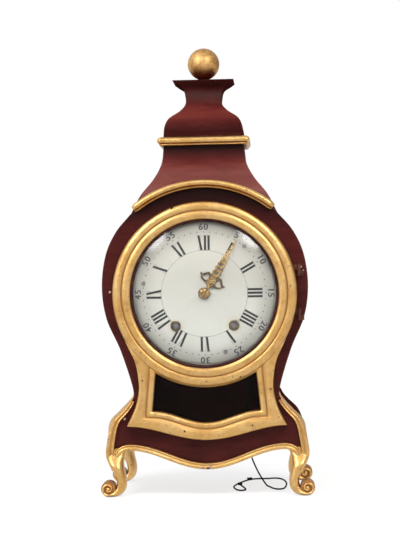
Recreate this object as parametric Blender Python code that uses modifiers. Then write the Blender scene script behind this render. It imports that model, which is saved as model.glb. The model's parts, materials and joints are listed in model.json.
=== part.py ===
# A small Neuchatel-style bracket clock: a waisted lacquered case on scroll feet, a gilt door
# over a convex enamel dial, a bell-shaped crown, and a striking pendulum movement with a
# pull cord. Metres, +Z up, the front faces -Y and +X is the viewer's right.
import math

import bmesh
import bpy
from mathutils import Matrix, Vector

MM = 0.001

# Fits
FIT = 0.3 * MM  # gap between pieces that touch
RUN = 0.35 * MM  # radial room round a turning shaft

# Case: half widths and heights of the side curve, then depths and board thicknesses
BASE_HALF = 137 * MM
WAIST_REVEAL = 8.5 * MM  # case seen beside the door at its waist
BELLY_REVEAL = 14.5 * MM  # case seen beside the bezel
SHOULDER_HALF = 101 * MM
BASE_Z = 62 * MM
WAIST_Z = 146 * MM
BELLY_Z = 285 * MM
SHOULDER_Z = 383 * MM
CASE_FRONT = -62 * MM
CASE_BACK = 82 * MM
FRONT_BOARD = 10 * MM
SIDE_WALL = 9 * MM
BACK_BOARD = 8 * MM
BOTTOM_BOARD = 10 * MM
TOP_BOARD = 9 * MM

# Gilt mouldings on the front board
APRON_INSET = 30 * MM  # the apron's peaks inside the case's foot
APRON_LOW_Z = 40.5 * MM
APRON_PEAK_Z = 67 * MM
RIM_WIDTH = 9 * MM
RIM_DEPTH = 6 * MM
CORNER_WIDTH = 11 * MM
CORNER_DEPTH = 6 * MM
EYEBROW_WIDTH = 11.5 * MM
EYEBROW_DEPTH = 11 * MM
EYEBROW_RAISE = 1.6 * MM  # its middle line above the edge of the arch
EYEBROW_SWEEP = math.radians(39.3)  # its ends to either side of upright

# Feet
SCROLL_RADIUS = 11.7 * MM
SCROLL_INSET = 2 * MM  # the scroll's middle inside the case's foot
LEG_THICKNESS = 12.2 * MM
FOOT_DEPTH = 26 * MM
FOOT_PROUD = 11 * MM  # how far the front feet stand before the case

# Crown
CROWN_WALL = 7 * MM
CROWN_MOULDING_Z = 480 * MM
CROWN_MOULDING_HEIGHT = 12.5 * MM
CROWN_MOULDING_PROUD = 8.5 * MM
CROWN_NECK_HALF = 55.6 * MM
CAP_Z = 572.5 * MM
CAP_HALF = 42.8 * MM
CROWN_WAIST_HALF = 25.5 * MM
CROWN_DEPTH_SHARE = 0.72  # depth over width of the upper crown
BALL_RADIUS = 22.4 * MM
BALL_NECK_RADIUS = 8 * MM
BALL_NECK = 4.5 * MM  # height of the neck under the ball
DOWEL_RADIUS = 4 * MM
DOWEL_LENGTH = 12 * MM

# Door and its glasses
DIAL_Z = 275 * MM
BEZEL_RADIUS = 126 * MM
BEZEL_WIDTH = 23 * MM
BEZEL_DEPTH = 13.7 * MM
ROUND_SIDES = 36  # of the bezel, its glass and the dial
DOOR_THICKNESS = 9 * MM
DOOR_WAIST_HALF = 91.5 * MM
DOOR_FOOT_INSET = 27 * MM  # the door's foot inside the case's
DOOR_FOOT_Z = 95 * MM
DOOR_SAG = 19 * MM
WINDOW_TOP_HALF = 68 * MM
WINDOW_FOOT_HALF = 73 * MM
WINDOW_FOOT_Z = 116.5 * MM
WINDOW_SAG = 16 * MM
GLASS = 1.6 * MM
GLASS_RISE = 17 * MM
GLASS_LAP = 3.5 * MM  # how far a glass reaches under its rebate
HINGE_OFFSET = 2.6 * MM  # hinge axis outside the bezel's edge
HINGE_SPREAD = 30 * MM  # hinges above and below the dial's centre
KNUCKLE_RADIUS = 2.2 * MM
KNUCKLE_HEIGHT = 8 * MM
PIN_RADIUS = 1.0 * MM
LEAF = 1.6 * MM
DOOR_WAIST_Z = 148 * MM
CATCH_INSET = 8 * MM  # the catch inside the bezel's edge
CATCH_TONGUE = 6 * MM

# Dial and hands
DIAL_MARGIN = 6 * MM  # dark ring between dial and bezel
DIAL_THICKNESS = 2 * MM
DIAL_RISE = 8 * MM
DIAL_HOLE = 6.5 * MM
DIAL_SCREW_INSET = 13 * MM
DIAL_SCREW_RADIUS = 1.6 * MM
DIAL_SCREW_ANGLES = (41, 161, 280)  # clockwise from twelve
KEY_HOLE = 6.9 * MM
DIAL_LAP = 21 * MM  # how far the dial rests on the board
HAND_THICKNESS = 1.0 * MM
HAND_GAP = 1.5 * MM
HAND_DISH = 6 * MM  # how far the minute hand's tip bends back
HAND_NUT = 1.6 * MM
HOUR_PIPE = 5 * MM
CANNON_PIPE = 3.2 * MM
MINUTE_HAND_INSET = 16 * MM  # its tip inside the dial's edge
HOUR_HAND = 58 * MM
MINUTE_ANGLE = 32.0  # the hands stand at about five past one
HOUR_ANGLE = 32.7

# Movement: plates, arbors and wheels
PLATE = 2.5 * MM
FRONT_PLATE_GAP = 6 * MM  # from the front board to the front plate
PLATE_SPACE = 46 * MM
PLATE_HALF = 62 * MM
PLATE_UP = 76 * MM
PLATE_DOWN = 83 * MM
PILLAR_RADIUS = 3.5 * MM
PILLAR_INSET = 5.5 * MM
LUG_RADIUS = 4 * MM
ARBOR = 1.2 * MM
WINDING_ARBOR = 3.6 * MM
BARREL_X = 39.3 * MM
BARREL_DROP = 43.4 * MM
BARREL_RADIUS = 27 * MM
BARREL_LENGTH = 32 * MM
WHEEL = 2 * MM  # thickness of a wheel
PINION = 4.5 * MM  # length of a pinion
GREAT_TEETH = 80
INTERMEDIATE_LEAVES = 8
INTERMEDIATE_TEETH = 64
CENTRE_LEAVES = 8
CENTRE_TEETH = 72
THIRD_LEAVES = 6
THIRD_TEETH = 72
ESCAPE_LEAVES = 6
ESCAPE_TEETH = 33
PIN_LEAVES = 8
PIN_TEETH = 60
FLY_LEAVES = 6
GREAT_MODULE = 0.8 * MM
CENTRE_MODULE = 0.7 * MM
THIRD_MODULE = 0.62 * MM
PIN_MODULE = 0.7 * MM
CANNON_TEETH = 16
MINUTE_TEETH = 48
MINUTE_LEAVES = 12
HOUR_TEETH = 48
CANNON_MODULE = 0.75 * MM
ESCAPE_RADIUS = 15 * MM
ESCAPE_UP = 37 * MM  # above the dial's centre
PALLET_UP = 60 * MM
PENDULUM_LENGTH = 142 * MM
PENDULUM_Y = 16 * MM
ROD_RADIUS = 1.5 * MM
BOB_RADIUS = 18 * MM
BOB_THICKNESS = 8 * MM
BELL_X = 14 * MM
BELL_Y = 10 * MM
BELL_RADIUS = 32 * MM
BELL_HEIGHT = 24 * MM
BELL_WALL = 2.2 * MM
BELL_RAISE = 4 * MM  # bell's rim above the top board
HAMMER_X = -48 * MM
HAMMER_UP = 40 * MM
HAMMER_GAP = 1.2 * MM
LEVER_X = 20 * MM
LEVER_DROP = 72 * MM
LEVER = 2 * MM  # thickness of the repeat lever
CORD_X = 56 * MM
CORD_RADIUS = 0.95 * MM
CORD_STEP = 5.4 * MM  # between the tube's points
LEVER_STUD = 2 * MM
MINUTE_STUD = 1.5 * MM
CRUTCH = 45 * MM
PIN_CIRCLE = 15 * MM
FLY_HALF = 9.5 * MM
FLY_LENGTH = 16 * MM
SQUARE_LENGTH = 9 * MM
GREAT_PHASE = 0.0

# Back opening and door
BACK_OPENING_HALF = 62 * MM
BACK_OPENING_LOW = 160 * MM
BACK_OPENING_HIGH = 360 * MM
BACK_DOOR_LAP = 9 * MM
BACK_DOOR = 5.7 * MM
PIVOT_RADIUS = 1.4 * MM
PIVOT_DEPTH = 6 * MM

# Base colour, roughness and metallic value of each kind of surface
FINISHES = {
    "lacquer": ((0.085, 0.012, 0.010), 0.45, 0.0),
    "gilt": ((0.62, 0.36, 0.10), 0.38, 1.0),
    "bare wood": ((0.16, 0.09, 0.045), 0.75, 0.0),
    "glass": ((0.92, 0.95, 0.95), 0.03, 0.0),
    "enamel": ((0.86, 0.87, 0.84), 0.18, 0.0),
    "hand gilt": ((0.55, 0.36, 0.10), 0.35, 1.0),
    "brass": ((0.66, 0.48, 0.20), 0.32, 1.0),
    "steel": ((0.35, 0.35, 0.36), 0.35, 1.0),
    "bell bronze": ((0.60, 0.50, 0.30), 0.3, 1.0),
    "cord": ((0.012, 0.012, 0.012), 0.85, 0.0),
}

# Places that several pieces share
WAIST_HALF = DOOR_WAIST_HALF + WAIST_REVEAL
BELLY_HALF = BEZEL_RADIUS + BELLY_REVEAL
APRON_HALF = BASE_HALF - APRON_INSET
ARCH_RADIUS = math.hypot(SHOULDER_HALF, SHOULDER_Z - DIAL_Z)  # the arch is round about the dial
SCROLL_X = BASE_HALF - SCROLL_INSET
BEZEL_OPENING = BEZEL_RADIUS - BEZEL_WIDTH
DOOR_FOOT_HALF = BASE_HALF - DOOR_FOOT_INSET
CATCH_X = CATCH_INSET - BEZEL_RADIUS
DIAL_RADIUS = BEZEL_OPENING - DIAL_MARGIN
DIAL_SCREW_CIRCLE = DIAL_RADIUS - DIAL_SCREW_INSET
BOARD_DIAL_HOLE = DIAL_RADIUS - DIAL_LAP
MINUTE_HAND = DIAL_RADIUS - MINUTE_HAND_INSET
BOARD_BACK = CASE_FRONT + FRONT_BOARD
SIDE_FRONT = BOARD_BACK + FIT
SIDE_BACK = CASE_BACK - BACK_BOARD - FIT
DOOR_BACK = CASE_FRONT - FIT
GLASS_SEAT = DOOR_BACK - DOOR_THICKNESS
DIAL_EDGE = CASE_FRONT - FIT
PLATE_FRONT = BOARD_BACK + FRONT_PLATE_GAP
PLATE_FRONT_BACK = PLATE_FRONT + PLATE
PLATE_BACK = PLATE_FRONT_BACK + PLATE_SPACE
PLATE_BACK_BACK = PLATE_BACK + PLATE
CROWN_Y = (BOARD_BACK + CASE_BACK) / 2
ARBOR_HOLE = ARBOR + RUN
HOUR_HAND_Y = DIAL_EDGE - DIAL_THICKNESS - DIAL_RISE - HAND_GAP - HAND_THICKNESS
MINUTE_HAND_Y = HOUR_HAND_Y - HAND_GAP - HAND_THICKNESS
LEVER_Y = PLATE_BACK_BACK + FIT + LEVER / 2
CORD_Y = LEVER_Y + LEVER / 2 + 3 * MM
CANNON_Y = PLATE_FRONT - PINION - MM
MINUTE_PINION_Y = CANNON_Y - PINION
SQUARE_Y = DIAL_EDGE + MM
HINGE_X = BEZEL_RADIUS + HINGE_OFFSET
HINGE_Y = DOOR_BACK - KNUCKLE_RADIUS - FIT


def clear_scene():
    for old in list(bpy.data.objects):
        bpy.data.objects.remove(old, do_unlink=True)


def new_collection(name):
    made = bpy.data.collections.new(name)
    bpy.context.scene.collection.children.link(made)
    return made


def finish_for(name, kind):
    colour, roughness, metallic = FINISHES[kind]
    made = bpy.data.materials.new(name + " " + kind)
    made.use_nodes = True
    shader = made.node_tree.nodes["Principled BSDF"]
    shader.inputs["Base Color"].default_value = (*colour, 1.0)
    shader.inputs["Roughness"].default_value = roughness
    shader.inputs["Metallic"].default_value = metallic
    return made


def evaluated_mesh(holder):
    bpy.context.view_layer.update()
    graph = bpy.context.evaluated_depsgraph_get()
    mesh = bpy.data.meshes.new_from_object(holder.evaluated_get(graph))
    shape = bmesh.new()
    shape.from_mesh(mesh)
    bmesh.ops.remove_doubles(shape, verts=shape.verts, dist=0.002 * MM)
    bmesh.ops.recalc_face_normals(shape, faces=shape.faces)
    shape.to_mesh(mesh)
    shape.free()
    return mesh


def scratch_object(name, data):
    made = bpy.data.objects.new(name, data)
    bpy.context.scene.collection.objects.link(made)
    return made


def piece(name, kind, mesh, origin=(0, 0, 0)):
    # One finished sub-part, with its origin on its axis or seat
    mesh.transform(Matrix.Translation(-Vector(origin)))
    mesh.shade_smooth()
    mesh.set_sharp_from_angle(angle=math.radians(35))
    made = bpy.data.objects.new(name, mesh)
    made.location = origin
    mesh.materials.clear()
    mesh.materials.append(finish_for(name, kind))
    clock.objects.link(made)
    return made


def prism(outlines, start, end, axis="Y"):
    # Closed outlines (the later ones are holes) extruded along Y or Z
    curve = bpy.data.curves.new("outline", "CURVE")
    curve.dimensions = "2D"
    curve.fill_mode = "BOTH"
    curve.extrude = (end - start) / 2
    for outline in outlines:
        spline = curve.splines.new("POLY")
        spline.points.add(len(outline) - 1)
        for target, (across, up) in zip(spline.points, outline):
            target.co = (across, up, 0, 1)
        spline.use_cyclic_u = True
    holder = scratch_object("outline", curve)
    mesh = evaluated_mesh(holder)
    bpy.data.objects.remove(holder)
    turn = Matrix.Rotation(math.pi / 2, 4, "X") if axis == "Y" else Matrix.Identity(4)
    middle = (start + end) / 2
    place = (0, middle, 0) if axis == "Y" else (0, 0, middle)
    mesh.transform(Matrix.Translation(place) @ turn)
    return mesh


def turned(profile, centre, steps, axis="Z", ring=False):
    # A profile of (radius, height) spun round an axis through the centre
    mesh = bpy.data.meshes.new("profile")
    points = [(radius, 0, height) for radius, height in profile]
    edges = [(i, i + 1) for i in range(len(points) - 1)]
    if ring:
        edges.append((len(points) - 1, 0))
    mesh.from_pydata(points, edges, [])
    holder = scratch_object("profile", mesh)
    spin = holder.modifiers.new("spin", "SCREW")
    spin.axis = "Z"
    spin.steps = steps
    spin.render_steps = steps
    spin.use_merge_vertices = True
    spin.merge_threshold = 0.01 * MM
    made = evaluated_mesh(holder)
    bpy.data.objects.remove(holder)
    turn = Matrix.Rotation(math.pi / 2, 4, "X") if axis == "Y" else Matrix.Identity(4)
    made.transform(Matrix.Translation(centre) @ turn)
    return made


def rod(radius, centre, start, end, axis="Y", sides=12):
    # A plain cylinder; the centre holds the two other coordinates
    across, up = centre
    shape = bmesh.new()
    bmesh.ops.create_cone(
        shape,
        cap_ends=True,
        segments=sides,
        radius1=radius,
        radius2=radius,
        depth=end - start,
    )
    mesh = bpy.data.meshes.new("rod")
    shape.to_mesh(mesh)
    shape.free()
    middle = (start + end) / 2
    if axis == "Y":
        mesh.transform(Matrix.Rotation(math.pi / 2, 4, "X"))
        mesh.transform(Matrix.Translation((across, middle, up)))
    else:
        mesh.transform(Matrix.Translation((across, up, middle)))
    return mesh


def block(low, high):
    shape = bmesh.new()
    bmesh.ops.create_cube(shape, size=1)
    mesh = bpy.data.meshes.new("block")
    shape.to_mesh(mesh)
    shape.free()
    size = Vector(high) - Vector(low)
    middle = (Vector(high) + Vector(low)) / 2
    mesh.transform(Matrix.Translation(middle) @ Matrix.Diagonal((*size, 1)))
    return mesh


def combine(base, tools, operation):
    # Boolean of closed meshes, one tool after another
    holder = scratch_object("base", base)
    for tool in tools:
        other = scratch_object("tool", tool)
        other.hide_render = True
        other.display_type = "WIRE"
        change = holder.modifiers.new("change", "BOOLEAN")
        change.operation = operation
        change.solver = "EXACT"
        change.object = other
        made = evaluated_mesh(holder)
        holder.modifiers.clear()
        holder.data = made
        bpy.data.objects.remove(other)
    bpy.data.objects.remove(holder)
    return made


def joined(base, *tools):
    return combine(base, tools, "UNION")


def cut(base, *tools):
    return combine(base, tools, "DIFFERENCE")


def loft(rings):
    # A skin through rings of equal count, closed by a face at each end
    shape = bmesh.new()
    rows = [[shape.verts.new(point) for point in ring] for ring in rings]
    count = len(rows[0])
    for lower, upper in zip(rows, rows[1:]):
        for i in range(count):
            after = (i + 1) % count
            shape.faces.new((lower[i], lower[after], upper[after], upper[i]))
    shape.faces.new(rows[0])
    shape.faces.new(rows[-1])
    bmesh.ops.recalc_face_normals(shape, faces=shape.faces)
    mesh = bpy.data.meshes.new("loft")
    shape.to_mesh(mesh)
    shape.free()
    return mesh


def rectangle_ring(half_width, half_depth, z):
    corners = ((-1, -1), (1, -1), (1, 1), (-1, 1))
    return [(u * half_width, CROWN_Y + v * half_depth, z) for u, v in corners]


def smooth(points, steps):
    # An open curve through the points, with the given steps in each stretch
    ends = [
        Vector(points[0]) * 2 - Vector(points[1]),
        Vector(points[-1]) * 2 - Vector(points[-2]),
    ]
    known = [ends[0]] + [Vector(point) for point in points] + [ends[1]]
    made = []
    for a, b, c, d in zip(known, known[1:], known[2:], known[3:]):
        for i in range(steps):
            t = i / steps
            made.append(
                tuple(
                    (
                        b * 2
                        + (c - a) * t
                        + (a * 2 - b * 5 + c * 4 - d) * t * t
                        + (b * 3 - a - c * 3 + d) * t * t * t
                    )
                    / 2
                )
            )
    made.append(tuple(points[-1]))
    return made


def circle(centre, radius, sides, phase=0.0):
    angles = [phase + 2 * math.pi * i / sides for i in range(sides)]
    return [(centre[0] + radius * math.cos(a), centre[1] + radius * math.sin(a)) for a in angles]


def mirrored(points):
    return [(-x, z) for x, z in reversed(points)]


def offset(points, distance, closed=True):
    # The outline moved to its left by a distance, along the mean normal at each point
    count = len(points)
    made = []
    for i in range(count):
        before = Vector(points[i - 1] if closed or i else points[0])
        after = Vector(points[(i + 1) % count] if closed or i < count - 1 else points[-1])
        here = Vector(points[i])
        first = (here - before).normalized() if (here - before).length else (after - here).normalized()
        second = (after - here).normalized() if (after - here).length else first
        mean = (first + second).normalized()
        reach = distance / max(mean.dot(first), 0.5)
        made.append((here.x - mean.y * reach, here.y + mean.x * reach))
    return made


def side_points():
    # The right side's curve from base to shoulder, as shares of the way between its main heights
    def part(low, high, up, across):
        return (low[0] + (high[0] - low[0]) * across, low[1] + (high[1] - low[1]) * up)

    base = (BASE_HALF, BASE_Z)
    waist = (WAIST_HALF, WAIST_Z)
    belly = (BELLY_HALF, BELLY_Z)
    shoulder = (SHOULDER_HALF, SHOULDER_Z)
    return [
        base,
        part(base, waist, 0.30, 0.12),
        part(base, waist, 0.50, 0.32),
        part(base, waist, 0.66, 0.68),
        part(base, waist, 0.80, 0.92),
        waist,
        part(waist, belly, 0.38, 0.40),
        part(waist, belly, 0.69, 0.855),
        belly,
        part(belly, shoulder, 0.44, 0.14),
        part(belly, shoulder, 0.76, 0.50),
        shoulder,
    ]


def side_curve():
    return smooth(side_points(), 2)


def side_inner():
    # The inner face of the right wall, level with the outer one at both ends
    inner = offset(side_curve(), SIDE_WALL, closed=False)
    inner[0] = (inner[0][0], BASE_Z)
    inner[-1] = (SHOULDER_HALF - 1.6 * SIDE_WALL, SHOULDER_Z)
    return inner


def half_width_at(curve, z):
    for (x0, z0), (x1, z1) in zip(curve, curve[1:]):
        if z0 <= z <= z1:
            return x0 + (x1 - x0) * (z - z0) / (z1 - z0)
    return curve[-1][0]


def apron_z(x):
    return APRON_LOW_Z + (APRON_PEAK_Z - APRON_LOW_Z) * (1 - math.cos(math.pi * x / APRON_HALF)) / 2


def apron_line(steps=14):
    places = [APRON_HALF * (2 * i / steps - 1) for i in range(steps + 1)]
    return [(x, apron_z(x)) for x in places]


def window_outline():
    # The pendulum window: under the bezel's arc, with a sagging foot
    arc_radius = BEZEL_RADIUS + 1.5 * MM
    swing = math.asin(WINDOW_TOP_HALF / arc_radius)
    steps = 8
    top = []
    for i in range(steps + 1):
        angle = swing * (1 - 2 * i / steps)
        top.append((arc_radius * math.sin(angle), DIAL_Z - arc_radius * math.cos(angle)))
    foot = []
    for i in range(steps + 1):
        x = WINDOW_FOOT_HALF * (2 * i / steps - 1)
        sag = (1 + math.cos(math.pi * x / WINDOW_FOOT_HALF)) / 2
        foot.append((x, WINDOW_FOOT_Z - WINDOW_SAG * sag))
    return top + foot


def band(line, width):
    return offset(line, width / 2, closed=False) + offset(line, -width / 2, closed=False)[::-1]


def make_front_board():
    right = side_curve()
    arch = []
    steps = 14
    first = math.atan2(SHOULDER_Z - DIAL_Z, SHOULDER_HALF)
    for i in range(1, steps):
        angle = first + (math.pi - 2 * first) * i / steps
        arch.append((ARCH_RADIUS * math.cos(angle), DIAL_Z + ARCH_RADIUS * math.sin(angle)))
    lip = RIM_WIDTH / 3  # the rim hangs this far below the board's middle line
    apron = [(x, z - lip) for x, z in apron_line()]
    outer = right + arch + mirrored(right) + apron
    dial_hole = circle((0, DIAL_Z), BOARD_DIAL_HOLE, 28)
    window = offset(window_outline(), -2 * MM)
    mesh = prism([outer, dial_hole, window], CASE_FRONT, BOARD_BACK)
    slot = CATCH_TONGUE / 2 + FIT * 2
    holes = [
        block(
            (CATCH_X - slot, CASE_FRONT - MM, DIAL_Z - slot),
            (CATCH_X + slot, BOARD_BACK + MM, DIAL_Z + slot),
        )
    ]
    for centre in dial_screw_places():
        holes.append(rod(DIAL_SCREW_RADIUS + FIT, centre, CASE_FRONT - MM, BOARD_BACK + MM, sides=8))
    piece("front_board", "lacquer", cut(mesh, *holes))


def make_sides():
    outline = side_curve() + side_inner()[::-1]
    piece("case_side_right", "lacquer", prism([outline], SIDE_FRONT, SIDE_BACK))
    piece("case_side_left", "lacquer", prism([mirrored(outline)], SIDE_FRONT, SIDE_BACK))


def make_inner_boards():
    inner = side_inner()
    bottom_half = half_width_at(inner, BASE_Z + BOTTOM_BOARD) - FIT
    bottom = block(
        (-bottom_half, SIDE_FRONT, BASE_Z), (bottom_half, SIDE_BACK, BASE_Z + BOTTOM_BOARD)
    )
    cord_hole = rod(
        CORD_RADIUS + 2 * FIT, (CORD_X, CORD_Y), BASE_Z - MM, BASE_Z + BOTTOM_BOARD + MM, axis="Z"
    )
    piece("bottom_board", "bare wood", cut(bottom, cord_hole))

    top_half = inner[-1][0] - FIT
    top_low = SHOULDER_Z - TOP_BOARD
    top = block((-top_half, SIDE_FRONT, top_low), (top_half, SIDE_BACK, SHOULDER_Z))
    room = 12 * MM
    sound_hole = block(
        (HAMMER_X - room, PLATE_BACK - 2 * room, top_low - MM),
        (BELL_X + 2 * room, BELL_Y + room, SHOULDER_Z + MM),
    )
    piece("top_board", "bare wood", cut(top, sound_hole))


def make_back():
    right = side_curve()
    outer = right + mirrored(right)
    half, low, high = BACK_OPENING_HALF, BACK_OPENING_LOW, BACK_OPENING_HIGH
    opening = [(-half, low), (half, low), (half, high), (-half, high)]
    piece("back_board", "lacquer", prism([outer, opening], CASE_BACK - BACK_BOARD, CASE_BACK))

    # The door laps the opening and turns on pivots in its rounded edge
    radius = BACK_DOOR / 2
    axis_x = half + BACK_DOOR_LAP - radius
    axis_y = CASE_BACK + FIT + radius
    angles = [math.pi * (i / 6 - 0.5) for i in range(7)]
    nose = [(axis_x + radius * math.cos(a), axis_y + radius * math.sin(a)) for a in angles]
    far = -half - BACK_DOOR_LAP
    plan = nose + [(far, axis_y + radius), (far, axis_y - radius)]
    door_low, door_high = low - BACK_DOOR_LAP, high + BACK_DOOR_LAP
    door = prism([plan], door_low, door_high, axis="Z")
    bore = PIVOT_RADIUS + RUN
    wells = [
        rod(bore, (axis_x, axis_y), door_low - MM, door_low + PIVOT_DEPTH + MM, axis="Z"),
        rod(bore, (axis_x, axis_y), door_high - PIVOT_DEPTH - MM, door_high + MM, axis="Z"),
    ]
    finger_notch = rod(7 * MM, (far, (low + high) / 2), axis_y - 2 * radius, axis_y + 2 * radius)
    piece("back_door", "lacquer", cut(door, *wells, finger_notch), (axis_x, axis_y, low))

    # Each pivot plate: a foot on the back board, an ear over the door's end and its pivot pin
    for name, edge, way in (("back_hinge_lower", door_low, -1), ("back_hinge_upper", door_high, 1)):
        ear_near = edge + way * FIT
        ear_far = ear_near + way * 3 * MM
        tall = ear_near + way * 12 * MM
        ear = block(
            (axis_x - 4 * MM, CASE_BACK + FIT, min(ear_near, ear_far)),
            (axis_x + 4 * MM, axis_y + radius - FIT, max(ear_near, ear_far)),
        )
        foot = block(
            (axis_x - 3.5 * MM, CASE_BACK + FIT, min(ear_near + way * MM, tall)),
            (axis_x + 3.5 * MM, CASE_BACK + FIT + LEAF, max(ear_near + way * MM, tall)),
        )
        pin_ends = sorted((ear_near + way * MM, edge - way * PIVOT_DEPTH))
        pin = rod(PIVOT_RADIUS, (axis_x, axis_y), *pin_ends, axis="Z")
        piece(name, "brass", joined(ear, foot, pin))


def make_front_mouldings():
    front = CASE_FRONT - FIT
    end = APRON_HALF + RIM_WIDTH
    line = [(-end, APRON_PEAK_Z)] + apron_line() + [(end, APRON_PEAK_Z)]
    piece("apron_rim", "gilt", prism([band(line, RIM_WIDTH)], front - RIM_DEPTH, front))

    # Corner mouldings follow the case's flare and narrow towards the waist
    flare = [point for point in side_curve() if point[1] < BASE_Z + 0.8 * (WAIST_Z - BASE_Z)]
    lip = 1.5 * MM
    outer = offset(flare, -lip, closed=False)
    full = offset(flare, CORNER_WIDTH - lip, closed=False)
    inner = []
    for i, (near, far) in enumerate(zip(outer, full)):
        share = 1 - 0.5 * i / (len(flare) - 1)
        inner.append((near[0] + (far[0] - near[0]) * share, near[1] + (far[1] - near[1]) * share))
    outer[0] = (outer[0][0], BASE_Z)
    inner[0] = (inner[0][0], BASE_Z)
    right = outer + inner[::-1]
    for name, outline in (("corner_moulding_right", right), ("corner_moulding_left", mirrored(right))):
        piece(name, "gilt", prism([outline], front - CORNER_DEPTH, front))

    steps = 20
    angles = [EYEBROW_SWEEP * (1 - 2 * i / steps) for i in range(steps + 1)]
    curves = []
    for side in (0.5, -0.5):
        radius = ARCH_RADIUS + EYEBROW_RAISE + side * EYEBROW_WIDTH
        curves.append([(radius * math.sin(a), DIAL_Z + radius * math.cos(a)) for a in angles])
    outline = curves[0] + curves[1][::-1]
    piece("eyebrow_moulding", "gilt", prism([outline], front - EYEBROW_DEPTH, front))


def foot_outline():
    # The right foot from the front: an S-curved leg that rolls out into a scroll
    top = BASE_Z - FIT
    flat = 1.2 * MM  # the scroll is flattened this much where it stands
    centre_z = SCROLL_RADIUS - flat
    ankle = (SCROLL_X - 0.77 * SCROLL_RADIUS, top * 0.54)
    heel = SCROLL_X - 2.05 * SCROLL_RADIUS
    outer = [
        (BASE_HALF - MM, top),
        (SCROLL_X - 4 * MM, top * 0.74),
        ankle,
        (SCROLL_X - 0.96 * SCROLL_RADIUS, top * 0.40),
        (SCROLL_X - 0.83 * SCROLL_RADIUS, centre_z + 0.76 * SCROLL_RADIUS),
    ]
    inner = [
        (SCROLL_X - 1.02 * SCROLL_RADIUS, 0.05 * SCROLL_RADIUS),
        (SCROLL_X - 1.62 * SCROLL_RADIUS, 0.38 * SCROLL_RADIUS),
        (heel, 1.2 * SCROLL_RADIUS),
        (heel, 1.95 * SCROLL_RADIUS),
        (ankle[0] - LEG_THICKNESS, ankle[1] + 4 * MM),
        (ankle[0] - LEG_THICKNESS - MM, top * 0.82),
        (APRON_HALF - MM, top),
    ]
    stand = math.acos((SCROLL_RADIUS - flat) / SCROLL_RADIUS)
    first, last = math.radians(112), -math.pi / 2 + stand
    steps = 10
    scroll = []
    for i in range(steps + 1):
        angle = first + (last - first) * i / steps
        scroll.append(
            (SCROLL_X + SCROLL_RADIUS * math.cos(angle), centre_z + SCROLL_RADIUS * math.sin(angle))
        )
    scroll.append((SCROLL_X - SCROLL_RADIUS * math.sin(stand), 0))
    scroll[-2] = (scroll[-2][0], 0)
    return smooth(outer, 3) + scroll + smooth(inner, 3)


def make_feet():
    right = foot_outline()
    front = CASE_FRONT - FOOT_PROUD
    for depth, start in (("front", front), ("back", CASE_BACK - FOOT_DEPTH)):
        for side, outline in (("right", right), ("left", mirrored(right))):
            mesh = prism([outline], start, start + FOOT_DEPTH)
            piece("foot_%s_%s" % (depth, side), "gilt", mesh)


def make_crown():
    low, high = SHOULDER_Z + FIT, CROWN_MOULDING_Z - FIT
    base_depth = (CASE_BACK - BOARD_BACK) / 2 - FIT
    neck_depth = CROWN_NECK_HALF * CROWN_DEPTH_SHARE
    bell = smooth([(0, 1), (0.28, 0.707), (0.52, 0.317), (0.75, 0.07), (1, 0)], 3)

    def ring(up, share, inset, top):
        half = CROWN_NECK_HALF + (SHOULDER_HALF - CROWN_NECK_HALF) * share - inset
        depth = neck_depth + (base_depth - neck_depth) * share - inset
        return rectangle_ring(half, depth, low + (top - low) * up)

    outside = [ring(up, share, 0, high) for up, share in bell]
    inside = [ring(up, share, CROWN_WALL, high - CROWN_WALL) for up, share in bell]
    piece("crown_lower", "lacquer", loft(inside[::-1] + outside))

    bead = ((0, 0.2), (0.12, 0.75), (0.3, 1), (0.6, 1), (0.82, 0.8), (1, 0.2))
    rings = []
    for up, share in bead:
        grow = CROWN_MOULDING_PROUD * share
        z = CROWN_MOULDING_Z + CROWN_MOULDING_HEIGHT * up
        rings.append(rectangle_ring(CROWN_NECK_HALF + grow, neck_depth + grow, z))
    piece("crown_moulding", "gilt", loft(rings))

    start = CROWN_MOULDING_Z + CROWN_MOULDING_HEIGHT + FIT
    ogee = [(0, 1), (0.18, 0.95), (0.33, 0.75), (0.47, 0.26), (0.60, 0)]
    flare = [(0.75, 0.015), (0.86, 0.18), (0.93, 0.60), (1, 1)]
    halves = [(up, CROWN_WAIST_HALF + (CROWN_NECK_HALF - CROWN_WAIST_HALF) * s) for up, s in ogee]
    halves += [(up, CROWN_WAIST_HALF + (CAP_HALF - CROWN_WAIST_HALF) * s) for up, s in flare]
    rings = []
    for up, half in smooth(halves, 2):
        rings.append(rectangle_ring(half, half * CROWN_DEPTH_SHARE, start + (CAP_Z - start) * up))
    bore = rod(
        DOWEL_RADIUS + FIT, (0, CROWN_Y), CAP_Z - DOWEL_LENGTH - 2 * FIT, CAP_Z + MM, axis="Z"
    )
    piece("crown_upper", "lacquer", cut(loft(rings), bore))

    seat = CAP_Z + FIT
    neck = math.asin(BALL_NECK_RADIUS / BALL_RADIUS)
    centre = seat + BALL_NECK + BALL_RADIUS * math.cos(neck)
    steps = 7
    profile = []
    for i in range(steps + 1):
        angle = (math.pi - neck) * i / steps
        profile.append((BALL_RADIUS * math.sin(angle), centre + BALL_RADIUS * math.cos(angle)))
    profile += [
        (BALL_NECK_RADIUS, seat),
        (DOWEL_RADIUS, seat),
        (DOWEL_RADIUS, seat - DOWEL_LENGTH),
        (0, seat - DOWEL_LENGTH),
    ]
    piece("finial", "gilt", turned(profile, (0, CROWN_Y, 0), 18), (0, CROWN_Y, seat))


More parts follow.
